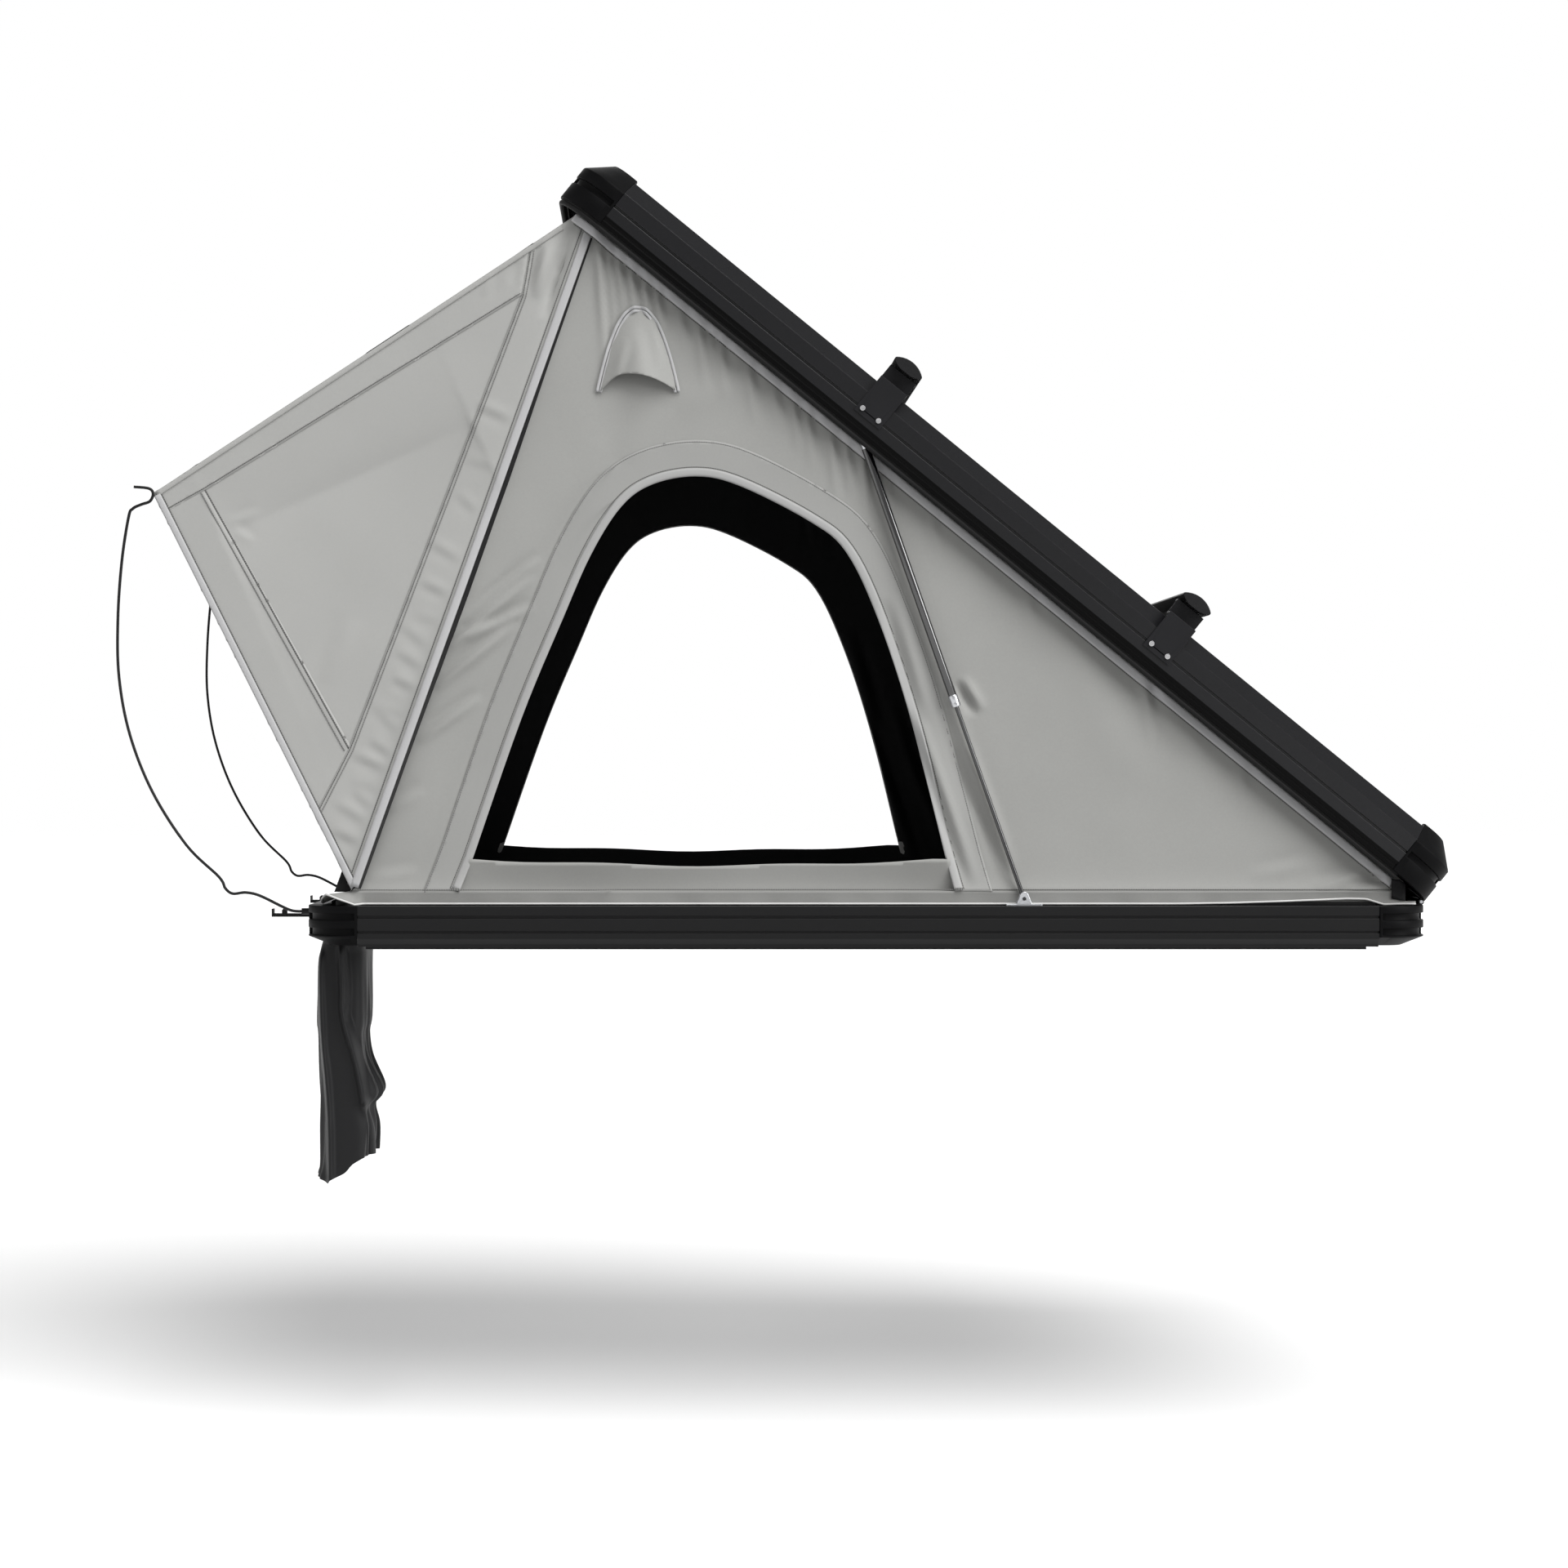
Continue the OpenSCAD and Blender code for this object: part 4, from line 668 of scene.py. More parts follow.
# The window: its size, its lower front corner and its arch as shares of the size
window_size = np.array([0.892, 0.72])
window_corner = wall_foot + np.array([0.231, 0.08])
window_shares = np.array([(0, 0), (0.103, 0.367), (0.189, 0.624), (0.25, 0.796), (0.314, 0.921),
                          (0.38, 0.979), (0.473, 1), (0.565, 0.975), (0.713, 0.882), (0.79, 0.801),
                          (0.858, 0.624), (0.926, 0.367), (1, 0)])
window_arch = smooth_path(window_corner + window_shares * window_size)
seam_level = wall_foot[1] + 0.02
arch_path = np.vstack([(-0.766, seam_level), window_arch, (0.1665, seam_level)])
sill_share = np.linspace(0.97, 0.03, 24)
sill_sag = 0.012 * np.sin(math.pi * sill_share) + 0.002 * np.sin(17 * sill_share)
window_sill = window_corner + np.column_stack([sill_share * window_size[0], -sill_sag])

# Where the lid's tape gathers the cloth: place along the tent, length, width and depth of each hanging crease
gathers = [(-0.503, 0.19, 0.008, 0.0055), (-0.486, 0.13, 0.007, 0.004), (-0.467, 0.1, 0.008, 0.0045),
           (-0.443, 0.12, 0.009, 0.0055), (-0.418, 0.13, 0.009, 0.005), (-0.396, 0.08, 0.008, 0.0045),
           (-0.352, 0.07, 0.01, 0.003), (-0.315, 0.1, 0.009, 0.005), (-0.296, 0.08, 0.008, 0.004),
           (-0.277, 0.09, 0.009, 0.0045), (-0.223, 0.09, 0.009, 0.004), (-0.176, 0.07, 0.01, 0.003),
           (-0.138, 0.08, 0.008, 0.0045), (-0.114, 0.09, 0.009, 0.0045), (-0.068, 0.11, 0.009, 0.005),
           (-0.04, 0.08, 0.008, 0.004), (-0.009, 0.09, 0.009, 0.0045), (0.03, 0.07, 0.01, 0.003),
           (0.12, 0.06, 0.011, 0.002), (0.3, 0.06, 0.012, 0.002), (0.52, 0.09, 0.01, 0.003),
           (0.7, 0.05, 0.012, 0.002)]
# Longer folds from the front edge, beside the strut and in the rear triangle: start, end, width and depth
pulls = [((-0.757, 0.612), (-0.612, 0.737), 0.009, 0.006), ((-0.797, 0.557), (-0.624, 0.703), 0.009, 0.0066),
         ((-0.752, 0.582), (-0.625, 0.646), 0.009, 0.0052), ((-0.812, 0.49), (-0.658, 0.614), 0.01, 0.007),
         ((-0.843, 0.39), (-0.723, 0.477), 0.01, 0.005), ((-0.786, 0.57), (-0.7, 0.62), 0.01, 0.002),
         ((-0.9, 0.26), (-0.83, 0.3), 0.012, 0.002), ((-0.93, 0.13), (-0.84, 0.15), 0.012, 0.0015),
         ((0.07, 0.46), (0.19, 0.115), 0.011, -0.0075),
         ((0.17, 0.38), (0.26, 0.13), 0.012, -0.008), ((0.03, 0.66), (0.1, 0.42), 0.014, -0.006),
         ((0.166, 0.505), (0.205, 0.44), 0.01, -0.007), ((0.13, 0.5), (0.2, 0.25), 0.014, -0.005),
         ((0.516, 0.51), (0.54, 0.44), 0.01, 0.0035),
         ((0.54, 0.46), (0.64, 0.37), 0.025, 0.003), ((0.3, 0.72), (0.52, 0.3), 0.05, 0.003),
         ((0.72, 0.135), (0.84, 0.165), 0.014, 0.0018), ((0.84, 0.115), (0.95, 0.15), 0.012, 0.004),
         ((0.9, 0.111), (1.0, 0.128), 0.009, 0.005), ((0.93, 0.15), (0.985, 0.118), 0.008, -0.005),
         ((-0.36, 1.02), (-0.2, 1.08), 0.03, 0.002), ((-0.46, 0.92), (-0.4, 1.03), 0.03, 0.002)]


def wall_out(points):
    """How far the wall's cloth stands out of its flat plane."""
    below_tape, gather_reach, pull_strength = 0.026, 1.25, 1.3
    out = 0.0028 * ripple(points, 2.4, 3.1) + 0.0012 * ripple(points, 9, 7.7)
    for x, length, width, depth in gathers:
        start = under_lid(x, below_tape)
        end = start + np.array([0.012, -gather_reach * length])
        gather_strength = 2.2 if x < -0.38 else 1.7
        out += crease(points, start, end, width, gather_strength * depth, hang=True)
    for start, end, width, depth in pulls:
        out += crease(points, start, end, width, pull_strength * depth)
    below_lid = (under_lid(points[:, 0], 0)[1] - points[:, 1]) / lid_slant
    held = np.clip(below_lid / 0.022, 0, 1) * np.clip((points[:, 1] - wall_foot[1]) / 0.02, 0, 1)
    from_edge = np.clip((points - wall_foot) @ wall_edge_side, 0, None)
    foot_flare = 0.0078 * np.exp(-abs(points[:, 1] - seam_level) / 0.018)
    from_rear = np.clip(wall_rear - points[:, 0], 0, None)
    edge_share = (points - wall_foot) @ wall_edge_way / np.linalg.norm(wall_top - wall_foot)
    hollow = np.interp(edge_share, [0.2, 0.4, 0.65, 0.9], [0.009, 0.015, 0.015, 0.009])
    drawn_in = hollow * np.exp(-from_edge / 0.026) + 0.011 * np.exp(-from_rear / 0.03)
    return out * held + foot_flare - drawn_in


def sill_lean(points):
    """Between the window's feet the cloth is drawn in at the foot seam and leans out to the sill."""
    heights = [seam_level, window_corner[1]]
    left = np.interp(points[:, 1], heights, [arch_path[0][0], window_arch[0][0]])
    right = np.interp(points[:, 1], heights, [arch_path[-1][0], window_arch[-1][0]])
    margin, blur = 0.009, 0.006
    past_left = np.clip((points[:, 0] - left + margin) / blur, 0, 1)
    before_right = np.clip((right + margin - points[:, 0]) / blur, 0, 1)
    lean = np.interp(points[:, 1], [wall_foot[1], *heights, heights[1] + 0.01], [0, -0.013, 0.009, 0])
    sag = 1 + 0.25 * np.sin(9 * points[:, 0])
    return past_left * before_right * lean * sag


vent_low, vent_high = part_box("left_vent_hood")
vent_w = vent_high.x - vent_low.x
vent_h = vent_high.z - vent_low.z
vent_foot = np.array([(vent_low.x + vent_high.x) / 2, vent_low.z])


def vent_arch(width, height, count=33):
    """The hood's arch from foot to foot, measured from the middle of its foot line."""
    t = np.linspace(-1, 1, count)
    return np.column_stack([t * width / 2, height * (1 - abs(t) ** 2.2)])


def on_wall(side):
    """Sets flat cloth upright at a side wall's face."""
    def place(flat, out):
        return np.column_stack([flat[:, 0], side * (wall_face + out), flat[:, 1]])
    return place


def fold_down(piece):
    """Ties a piece of cloth to the base, with a mesh of its own."""
    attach(piece, "base")
    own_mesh(piece)


arch_side = left_of(spaced(arch_path, 0.01, closed=False))
arch_even = spaced(arch_path, 0.01, closed=False)
arch_share = np.linspace(0, 1, len(arch_even))
facing_w = np.interp(arch_share, [0, 0.3, 0.5, 0.72, 1], [0.061, 0.064, 0.067, 0.06, 0.066])
facing_edge = arch_even + arch_side * facing_w[:, None]
for end, before in ((0, 1), (-1, -2)):
    last_step = facing_edge[end] - facing_edge[before]
    facing_edge[end] += last_step * (seam_level - facing_edge[end][1]) / last_step[1]
wall_outline = np.array([wall_foot, wall_heel, wall_tail, wall_top])
window_hole = np.vstack([window_arch, window_sill])
vent_hole = vent_foot + [0, 0.05] + vent_arch(vent_w - 0.06, vent_h - 0.075)
wall_cut = cut_cloth(wall_outline, [window_hole, vent_hole])
wall_stand = wall_out(wall_cut[0]) + sill_lean(wall_cut[0])
facing_cut = cut_cloth(np.vstack([facing_edge, (arch_even + arch_side * 0.001)[::-1]]))
facing_stand = wall_out(facing_cut[0]) + 0.0018
tape_front = -0.55
lid_tape_path = np.array([under_lid(x, 0.0178 + 0.003 * math.exp((tape_front - x) / 0.05))
                          for x in np.linspace(tape_front, 0.985, 120)])
foot_path = np.array([(x, seam_level) for x in np.linspace(-0.962, 0.985, 60)])


def tape_out(points):
    """The lid's tape runs forward over the top of the awning's wing, so it stands further out there."""
    wing_lift, wing_rear, ramp = 0.021, -0.475, 0.035
    return wall_out(points) + wing_lift * np.clip((wing_rear - points[:, 0]) / ramp, 0, 1)


tack_feet = (arch_path[0], arch_path[-1] + [0.0105, 0])
bar_tacks = [np.array([foot + [-0.012, 0.004], foot + [0.002, 0.004]]) for foot in tack_feet]
binding_path = arch_path + left_of(arch_path) * 0.0055
# Tapes and stitch rows: name, path, width, height, lift off the cloth and material
wall_rows = [("binding_stitches", arch_even + arch_side * 0.0155, 0.0018, 0.0009, 0.0018, seam_thread),
             ("facing_stitches", facing_edge - arch_side * 0.004, 0.0018, 0.0009, 0.0018, pale_thread),
             ("foot_seam", foot_path + [0, 0.003], 0.0018, 0.0008, 0.0004, seam_thread),
             ("lid_tape", lid_tape_path, 0.016, 0.0036, 0.0, lid_tape),
             ("lid_tape_stitches", lid_tape_path - [0, 0.0125], 0.002, 0.001, 0.0002, seam_thread),
             ("left_bar_tack", bar_tacks[0], 0.005, 0.0012, 0.0052, seam_thread),
             ("right_bar_tack", bar_tacks[1], 0.005, 0.0012, 0.0052, seam_thread)]
# A black gusset at the wall's lower front corner, and a black patch of painted shade at its rear corner
gusset_and_shade_patch = {"rear": [(0.982, 0.097), (1.008, 0.092), (1.008, 0.124), (0.998, 0.132), (0.982, 0.135)],
                 "front": [(-1.0, 0.109), (-0.955, 0.109), (-0.985, 0.15)]}
for side, hand in ((-1, "left"), (1, "right")):
    flip = side > 0
    place = on_wall(side)
    wall = sew(f"{hand}_side_wall", place, *wall_cut, wall_stand, [canvas, lining], flip)
    facing = sew(f"{hand}_window_facing", place, *facing_cut, facing_stand, [facing_canvas], flip)
    binding = sew_strip(f"{hand}_window_binding", place, binding_path, 0.0155, 0.0042,
                        raised(wall_out, 0.0016), window_tape, flip)
    trims = [facing, binding]
    for name, path, width, height, lift, material in wall_rows:
        trims.append(sew_strip(f"{hand}_{name}", place, path, width, height,
                               raised(tape_out, lift), material, flip, step=0.004))
    # The rear piece is painted shade: black cloth laid on the wall's tail where the lid's corner shades it
    for name, corners in gusset_and_shade_patch.items():
        gusset_cut = cut_cloth(np.array(corners), step=0.006)
        gusset_out = np.full(len(gusset_cut[0]), 0.0115 if name == "rear" else -0.004)
        trims.append(sew(f"{hand}_{name}_gusset", place, *gusset_cut, gusset_out, [lining], flip, 0.001))
    for piece in (wall, *trims):
        fold_down(piece)
    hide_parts(f"{hand}_wall")

# Skirt: a canvas flap sewn along the foot seam of the side and front walls, edged with white piping.
# It runs along the left side, around the front and back along the right side, over the tracks.
# It is pushed up at the front corners and lifts in a wave near the hinge.
skirt_rear, skirt_front = 1.028, -0.966
skirt_rows = 7
skirt_drop, tail_drop = 0.0235, 0.019
tail_len, tail_ramp = 0.034, 0.014
least_seam_out = 0.0075
turn_r = 0.02
side_run = skirt_rear - skirt_front - turn_r
turn_run = turn_r * math.pi / 2
front_run = 2 * (wall_face - turn_r)
skirt_run = 2 * (side_run + turn_run) + front_run
# How far the free edge lifts, by its distance from the rear end
rear_lift = [(0.028, 0), (0.06, -0.001), (0.093, 0.009), (0.128, 0.0095), (0.188, 0.007), (0.253, 0.0045),
             (0.348, 0.0015), (0.448, 0)]
# How far the free edge reaches out and lifts, by the degrees around a front corner
corner_edge = [(0, -0.0012, 0), (20, 0.014, -0.0015), (38, 0.034, 0.008), (58, 0.05, 0.0185),
               (74, 0.051, 0.009), (90, 0.05, 0.001)]


def skirt_column(run):
    """The skirt's points from its seam to its free edge, at a run along its path from the left rear."""
    from_rear = min(run, skirt_run - run)
    mirrored = 1 if run < skirt_run / 2 else -1
    turn = min(max(from_rear - side_run, 0) / turn_r, math.pi / 2)
    along_front = max(from_rear - side_run - turn_run, 0)
    x = skirt_rear - min(from_rear, side_run) - turn_r * math.sin(turn)
    y = -(wall_face - turn_r) - turn_r * math.cos(turn) + along_front
    degrees, reaches, lifts = zip(*corner_edge)
    reach = np.interp(math.degrees(turn), degrees, reaches)
    lift = np.interp(math.degrees(turn), degrees, lifts)
    wave = 0.0008 * math.sin(run * 31) + 0.0006 * math.sin(run * 77)
    if turn == 0:
        lift += np.interp(from_rear, *zip(*rear_lift))
    if along_front > 0:
        lift += 0.004 * (1 - math.cos(along_front * 23)) * math.exp(-along_front * 3)
        wave *= 3
    seam_out = max(wall_out(np.array([(x, seam_level)]))[0], least_seam_out)
    tail = tail_drop * min(max(tail_len - from_rear, 0) / tail_ramp, 1)
    column = []
    for k in range(skirt_rows):
        share = k / (skirt_rows - 1)
        out = 0.001 + seam_out * (1 - share) + (0.008 + reach + wave) * share ** 1.2
        z = seam_level - tail - (skirt_drop - lift - tail) * share
        column.append((x - out * math.sin(turn), mirrored * (y - out * math.cos(turn)), z))
    return column


side_steps = np.linspace(0, side_run, 330)[:-1]
turn_steps = side_run + np.linspace(0, turn_run, 24)
front_steps = side_run + turn_run + np.linspace(0, front_run / 2, 80)[1:]
left_steps = np.concatenate([side_steps, turn_steps, front_steps])
skirt_steps = np.concatenate([left_steps, skirt_run - left_steps[:-1][::-1]])
skirt_columns = [skirt_column(run) for run in skirt_steps]
skirt_points = [column[k] for k in range(skirt_rows) for column in skirt_columns]
skirt_cols = len(skirt_steps)
skirt_faces = grid_faces(skirt_cols, skirt_rows)
# The skirt's canvas is the walls' canvas darkened as painted shade, because the skirt leans up to the light
darkened_skirt_canvas = canvas_finish("grey_skirt_canvas", (0.285, 0.285, 0.275))
skirt = new_piece("foot_skirt", skirt_points, skirt_faces, [darkened_skirt_canvas])
lay_uv(skirt, [(run, 0.004 * k) for k in range(skirt_rows) for run in skirt_steps])
thicken(skirt, 0.0012)
skirt_piping = tube_along("skirt_piping", skirt_points[-skirt_cols:], 0.0019, white_cord)

# Rear strip: a low band of canvas with a black lining, sewn between the tails of the two side walls.
# It closes the wedge between base and lid at the hinge.
rear_half = wall_face - 0.007
rear_foot = wall_heel[1] - 0.006


def panel(half, low, high):
    """The corners of a rectangle of cloth that spans the tent."""
    return np.array([(-half, low), (half, low), (half, high), (-half, high)])


def on_rear(flat, out):
    """Across the tent and up, just inside the tails of the side walls."""
    return np.column_stack([wall_rear - 0.002 + out, flat])


rear_cut = cut_cloth(panel(rear_half, rear_foot, wall_tail[1]), step=0.012)
rear_strip = sew("rear_strip", on_rear, *rear_cut, np.zeros(len(rear_cut[0])), [canvas, lining])

# Vent hoods: arched canvas flaps over the wall's mesh vents, sewn on with two rows of piping along the arch.
# The free lower lip stands out from the wall and sags unevenly.
hood_out = 0.03
lip_rise = 0.032
lip_t = np.linspace(0.93, -0.93, 29)
lip_span = 0.64 + 0.66 * (lip_t > -0.3)
lip_height = lip_rise * np.clip(1 - ((lip_t + 0.3) / lip_span) ** 2, 0, 1)
lip_path = np.column_stack([lip_t * vent_w / 2, lip_height])
hood_cut = cut_cloth(np.vstack([vent_arch(vent_w, vent_h)[1:-1], lip_path]), step=0.004)


def hood_stand(points):
    """The hood's height over the wall: nothing along the arch, most at the middle of the lip."""
    t = np.clip(points[:, 0] / (vent_w / 2), -1, 1)
    room = np.clip(vent_h * (1 - abs(t) ** 2.2) - points[:, 1], 0, None) / vent_h
    uneven = (1 - 0.35 * t ** 2) * (1 + 0.18 * np.sin(3.2 * t + 0.6))
    swell = hood_out * np.clip(room * 1.25, 0, 1) ** 0.8 * uneven
    dent = crease(points, (0.012, 0.14), (0.03, 0.02), 0.014, -0.004)
    dent += crease(points, (-0.02, 0.1), (-0.045, 0.02), 0.01, 0.003)
    return 0.0022 + swell + dent * np.clip(room * 4, 0, 1)


def on_hood(side):
    """Sets cloth that is measured from the hood's foot at a side wall's face."""
    place = on_wall(side)

    def place_above_foot(flat, out):
        return place(flat + vent_foot, out)
    return place_above_foot


def under_piping(points):
    """The wall's height under the hood's piping, for points measured from the hood's foot."""
    return wall_out(points + vent_foot) + 0.002


mesh_cloth = canvas_finish("black_vent_mesh", (0.01, 0.01, 0.01), 0.1, 0.7)
hood_arch = vent_arch(vent_w - 0.004, vent_h - 0.002, 65)
piping_paths = [hood_arch + left_of(hood_arch) * (0.0032 - 0.0066 * k) for k in range(2)]
net_cut = cut_cloth(vent_arch(vent_w - 0.03, vent_h - 0.02)[1:-1], step=0.01)
net_stand = np.full(len(net_cut[0]), -0.004)
for side, hand in ((-1, "left"), (1, "right")):
    flip = side > 0
    place = on_hood(side)
    hood = sew(f"{hand}_hood", place, *hood_cut, hood_stand(hood_cut[0]), [canvas, canvas], flip, 0.001)
    rows = [sew_strip(f"{hand}_hood_piping_{k}", place, path, 0.0056, 0.0046, under_piping, pale_tape,
                      flip, step=0.004) for k, path in enumerate(piping_paths)]
    net = sew(f"{hand}_vent_mesh", place, *net_cut, net_stand, [mesh_cloth], flip, 0.0006)
    for piece in (hood, net, *rows):
        fold_down(piece)
    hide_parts(f"{hand}_vent_hood")

# Front wall: a leaning canvas panel with a black lining between the side walls, held in the front tracks.
# Its arched doorway is bound in pale tape.
front_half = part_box("front_wall")[1].y
front_span = wall_top - wall_foot
front_len = float(np.linalg.norm(front_span))
front_way = front_span / front_len
front_out = np.array([-front_way[1], front_way[0]])
door_half, door_sill, door_h, door_r = 0.42, 0.09, 0.86, 0.22


def on_slope(start, way, up):
    """Sets cloth across the tent on a slope, which runs from a start along a way."""
    def place(flat, out):
        spot = start + flat[:, 1:2] * way + np.reshape(out, (-1, 1)) * up
        return np.column_stack([spot[:, 0], flat[:, 0], spot[:, 1]])
    return place


on_front = on_slope(wall_foot, front_way, front_out)
bend = np.linspace(0, math.pi / 2, 14)
bend_middle = np.array([door_half - door_r, door_sill + door_h - door_r])
right_bend = bend_middle + door_r * np.column_stack([np.cos(bend), np.sin(bend)])
left_bend = (right_bend * [-1, 1])[::-1]
door_arch = np.vstack([(door_half, door_sill), right_bend, left_bend, (-door_half, door_sill)])
front_margin = 0.006
front_cut = cut_cloth(panel(front_half, front_margin, front_len - front_margin), [door_arch], step=0.01)


def front_stand(points):
    """The front's cloth: nearly flat, with short folds hanging from its upper track."""
    out = 0.003 * ripple(points, 2.2, 5.5) + 0.001 * ripple(points, 8, 1.3)
    for x in (-0.5, -0.36, -0.21, -0.05, 0.12, 0.27, 0.44, 0.52):
        out += crease(points, (x, front_len - 0.03), (x + 0.01, front_len - 0.16), 0.011, 0.004, hang=True)
    held = np.clip((front_half - abs(points[:, 0])) / 0.04, 0, 1)
    return 0.003 + out * held


front = sew("front_wall_cloth", on_front, *front_cut, front_stand(front_cut[0]), [canvas, lining], True)
door_left = left_of(door_arch)
door_binding = sew_strip("door_binding", on_front, door_arch - door_left * 0.006, 0.0155, 0.004,
                         front_stand, pale_tape, True)
door_stitches = sew_strip("door_binding_stitches", on_front, door_arch - door_left * 0.016, 0.0018, 0.0009,
                          raised(front_stand, 0.0002), seam_thread, True)
front_seam_path = [(-front_half + 0.01, 0.02), (front_half - 0.01, 0.02)]
front_seam = sew_strip("front_foot_seam", on_front, front_seam_path, 0.003, 0.0012,
                       front_stand, seam_thread, True)
for piece in (front, door_binding, door_stitches, front_seam, rear_strip):
    fold_down(piece)
for piece in (skirt, skirt_piping):
    fold_down(piece)
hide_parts("front_wall")

# Awning: a canvas roof and two triangular wings, drawn out by the spring rods.
# Each wing has sewn-on borders around a single panel, and a thick bound rear edge that stands off the wall.
wing_points = np.array([v.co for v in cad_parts["left_awning_wing"].data.vertices])[:, [0, 2]]
wing_top = wing_points[wing_points[:, 1].argmax()]
wing_tip = wing_points[wing_points[:, 0].argmin()]
wing_foot = wing_points[wing_points[:, 1].argmin()]
wing_corner = under_lid(-0.517, 0.001)
wing_outline = np.array([wing_foot, wing_corner, wing_top, wing_tip])
rear_len = np.linalg.norm(wing_corner - wing_foot)
rear_way = (wing_corner - wing_foot) / rear_len
rear_side = np.array([-rear_way[1], rear_way[0]])
# Folds of the wing: start, end, width and depth
wing_folds = [((-0.551, 1.368), (-0.579, 1.265), 0.012, -0.0075),
              ((-0.57, 1.305), (-0.606, 1.185), 0.01, -0.008),
              ((-0.612, 1.325), (-0.64, 1.235), 0.01, -0.0065),
              ((-0.588, 1.335), (-0.62, 1.22), 0.014, 0.006),
              ((-0.65, 1.295), (-0.668, 1.25), 0.009, -0.0025),
              ((-0.7, 1.27), (-0.72, 1.225), 0.008, 0.002),
              ((-1.02, 0.5), (-0.96, 0.62), 0.02, 0.002),
              ((-1.194, 0.8), (-1.14, 0.825), 0.009, 0.0016),
              ((-1.192, 0.79), (-1.15, 0.765), 0.009, 0.0016)]
# Where the rear band is puckered by its binding, as shares of the rear edge
band_creases = [0.04, 0.07, 0.1, 0.12, 0.15, 0.18, 0.2, 0.235, 0.26, 0.3, 0.33, 0.36, 0.4,
                0.44, 0.49, 0.56, 0.63, 0.7]


def wing_flare(points):
    """How far the wing's rear edge stands off the wall: most near its foot, little under the lid."""
    share = (points - wing_foot) @ rear_way / rear_len
    return np.interp(share, [0, 0.08, 0.3, 0.48, 0.56, 1], [0.008, 0.013, 0.013, 0.0025, -0.0012, -0.0012])


def wing_slack(points):
    """The panel's cloth is slack along a line from its front seam, and bends there."""
    start, end = np.array([-1.21, 0.778]), np.array([-0.74, 0.986])
    way = (end - start) / np.linalg.norm(end - start)
    along = (points - start) @ way / np.linalg.norm(end - start)
    above = (points - start) @ np.array([-way[1], way[0]])
    fade = np.sin(math.pi * np.clip(along, 0, 1)) ** 0.5
    return -0.014 * fade * np.exp(-np.where(above > 0, above / 0.07, -above / 0.17))


def wing_stand(points):
    """The wing's cloth: nearly flat, with folds at the top and an outward flare along its rear edge."""
    out = 0.003 * ripple(points, 2.6, 9.2) + 0.001 * ripple(points, 9, 4.4)
    for start, end, width, depth in wing_folds:
        out += crease(points, start, end, width, depth)
    for k, share in enumerate(band_creases):
        start = wing_foot + rear_way * share * rear_len + rear_side * 0.012
        end = start + rear_side * (0.052 + 0.012 * (k % 3)) + rear_way * (0.01 * (k % 4) - 0.005)
        out += crease(points, start, end, 0.0105, 0.0009 + 0.0004 * (k * 7 % 4))
    behind = np.clip((points - wing_foot) @ rear_side, 0, None)
    flare = wing_flare(points) * np.exp(-behind / 0.035)
    return out * np.clip(behind / 0.02, 0.15, 1) + wing_slack(points) + 0.001 + flare


def fold_away(piece):
    """Ties a piece of the awning to the awning's body, with a mesh of its own."""
    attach(piece, "awning")
    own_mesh(piece)


front_way_down = wing_foot - wing_tip
panel_peak, panel_left, panel_foot = np.array([(-0.648, 1.2285), (-1.2416, 0.8632), (-0.972, 0.3785)])
top_seam = np.array([wing_tip + 0.051 * front_way_down, panel_left, panel_peak])
front_seam_line = np.array([panel_left, panel_foot])
rear_seam = np.array([wing_tip + 0.812 * front_way_down, panel_foot, panel_peak, (-0.633, 1.314)])
# How far the front band's corners reach under the rear and top bands
band_overlap = np.array([(-0.003, 0.008), (0.008, -0.003), (0.008, -0.003), (-0.003, 0.008)])
wing_bands = {"front": (np.vstack([front_seam_line, rear_seam[:1], top_seam[:1]]) + band_overlap, 0.001),
              "top": (np.vstack([top_seam, rear_seam[-1:], [wing_tip]]), 0.0013),
              "rear": (np.vstack([rear_seam, [wing_top, wing_corner, wing_foot]]), 0.0017)}
wing_cut = cut_cloth(wing_outline)
wing_canvas = canvas_finish("pale_grey_canvas", (0.408, 0.408, 0.395), 0.035)
rear_path = np.array([wing_foot + rear_way * 0.008, wing_corner - rear_way * 0.02]) - rear_side * 0.003
front_edge = np.array([wing_tip + front_way_down * 0.008, wing_foot - front_way_down * 0.004])
hem_path = front_edge + left_of(front_edge) * 0.0065
top_edge = np.array([wing_top + (wing_tip - wing_top) * 0.05, wing_tip + (wing_top - wing_tip) * 0.006])
top_path = top_edge + left_of(top_edge) * 0.006
front_left, rear_left = left_of(front_seam_line), left_of(rear_seam)
# Bindings, hems and stitch rows, listed like the wall's
wing_rows = [("rear_binding", rear_path, 0.0155, 0.0052, 0.002, pale_tape),
             ("rear_stitches", rear_path + rear_side * 0.0135, 0.0018, 0.0009, 0.0026, seam_thread),
             ("front_hem", hem_path, 0.0125, 0.0034, 0.0018, pale_tape),
             ("front_stitches", hem_path + left_of(hem_path) * 0.008, 0.0018, 0.0009, 0.0028, seam_thread),
             ("top_hem", top_path, 0.009, 0.0028, 0.0018, wing_canvas),
             ("top_stitches", top_seam + left_of(top_seam) * 0.004, 0.0016, 0.0009, 0.0022, seam_thread),
             ("front_band_stitches", front_seam_line, 0.003, 0.0018, 0.0006, seam_thread),
             ("front_band_outer_stitches", front_seam_line - front_left * 0.009, 0.0016, 0.0009, 0.0024,
              pale_thread),
             ("rear_band_stitches", rear_seam - rear_left * 0.003, 0.0016, 0.0009, 0.0027, seam_thread),
             ("rear_band_outer_stitches", rear_seam - rear_left * 0.009, 0.0016, 0.0009, 0.0027, pale_thread)]
edge_steps = spaced(rear_path, 0.01, closed=False)


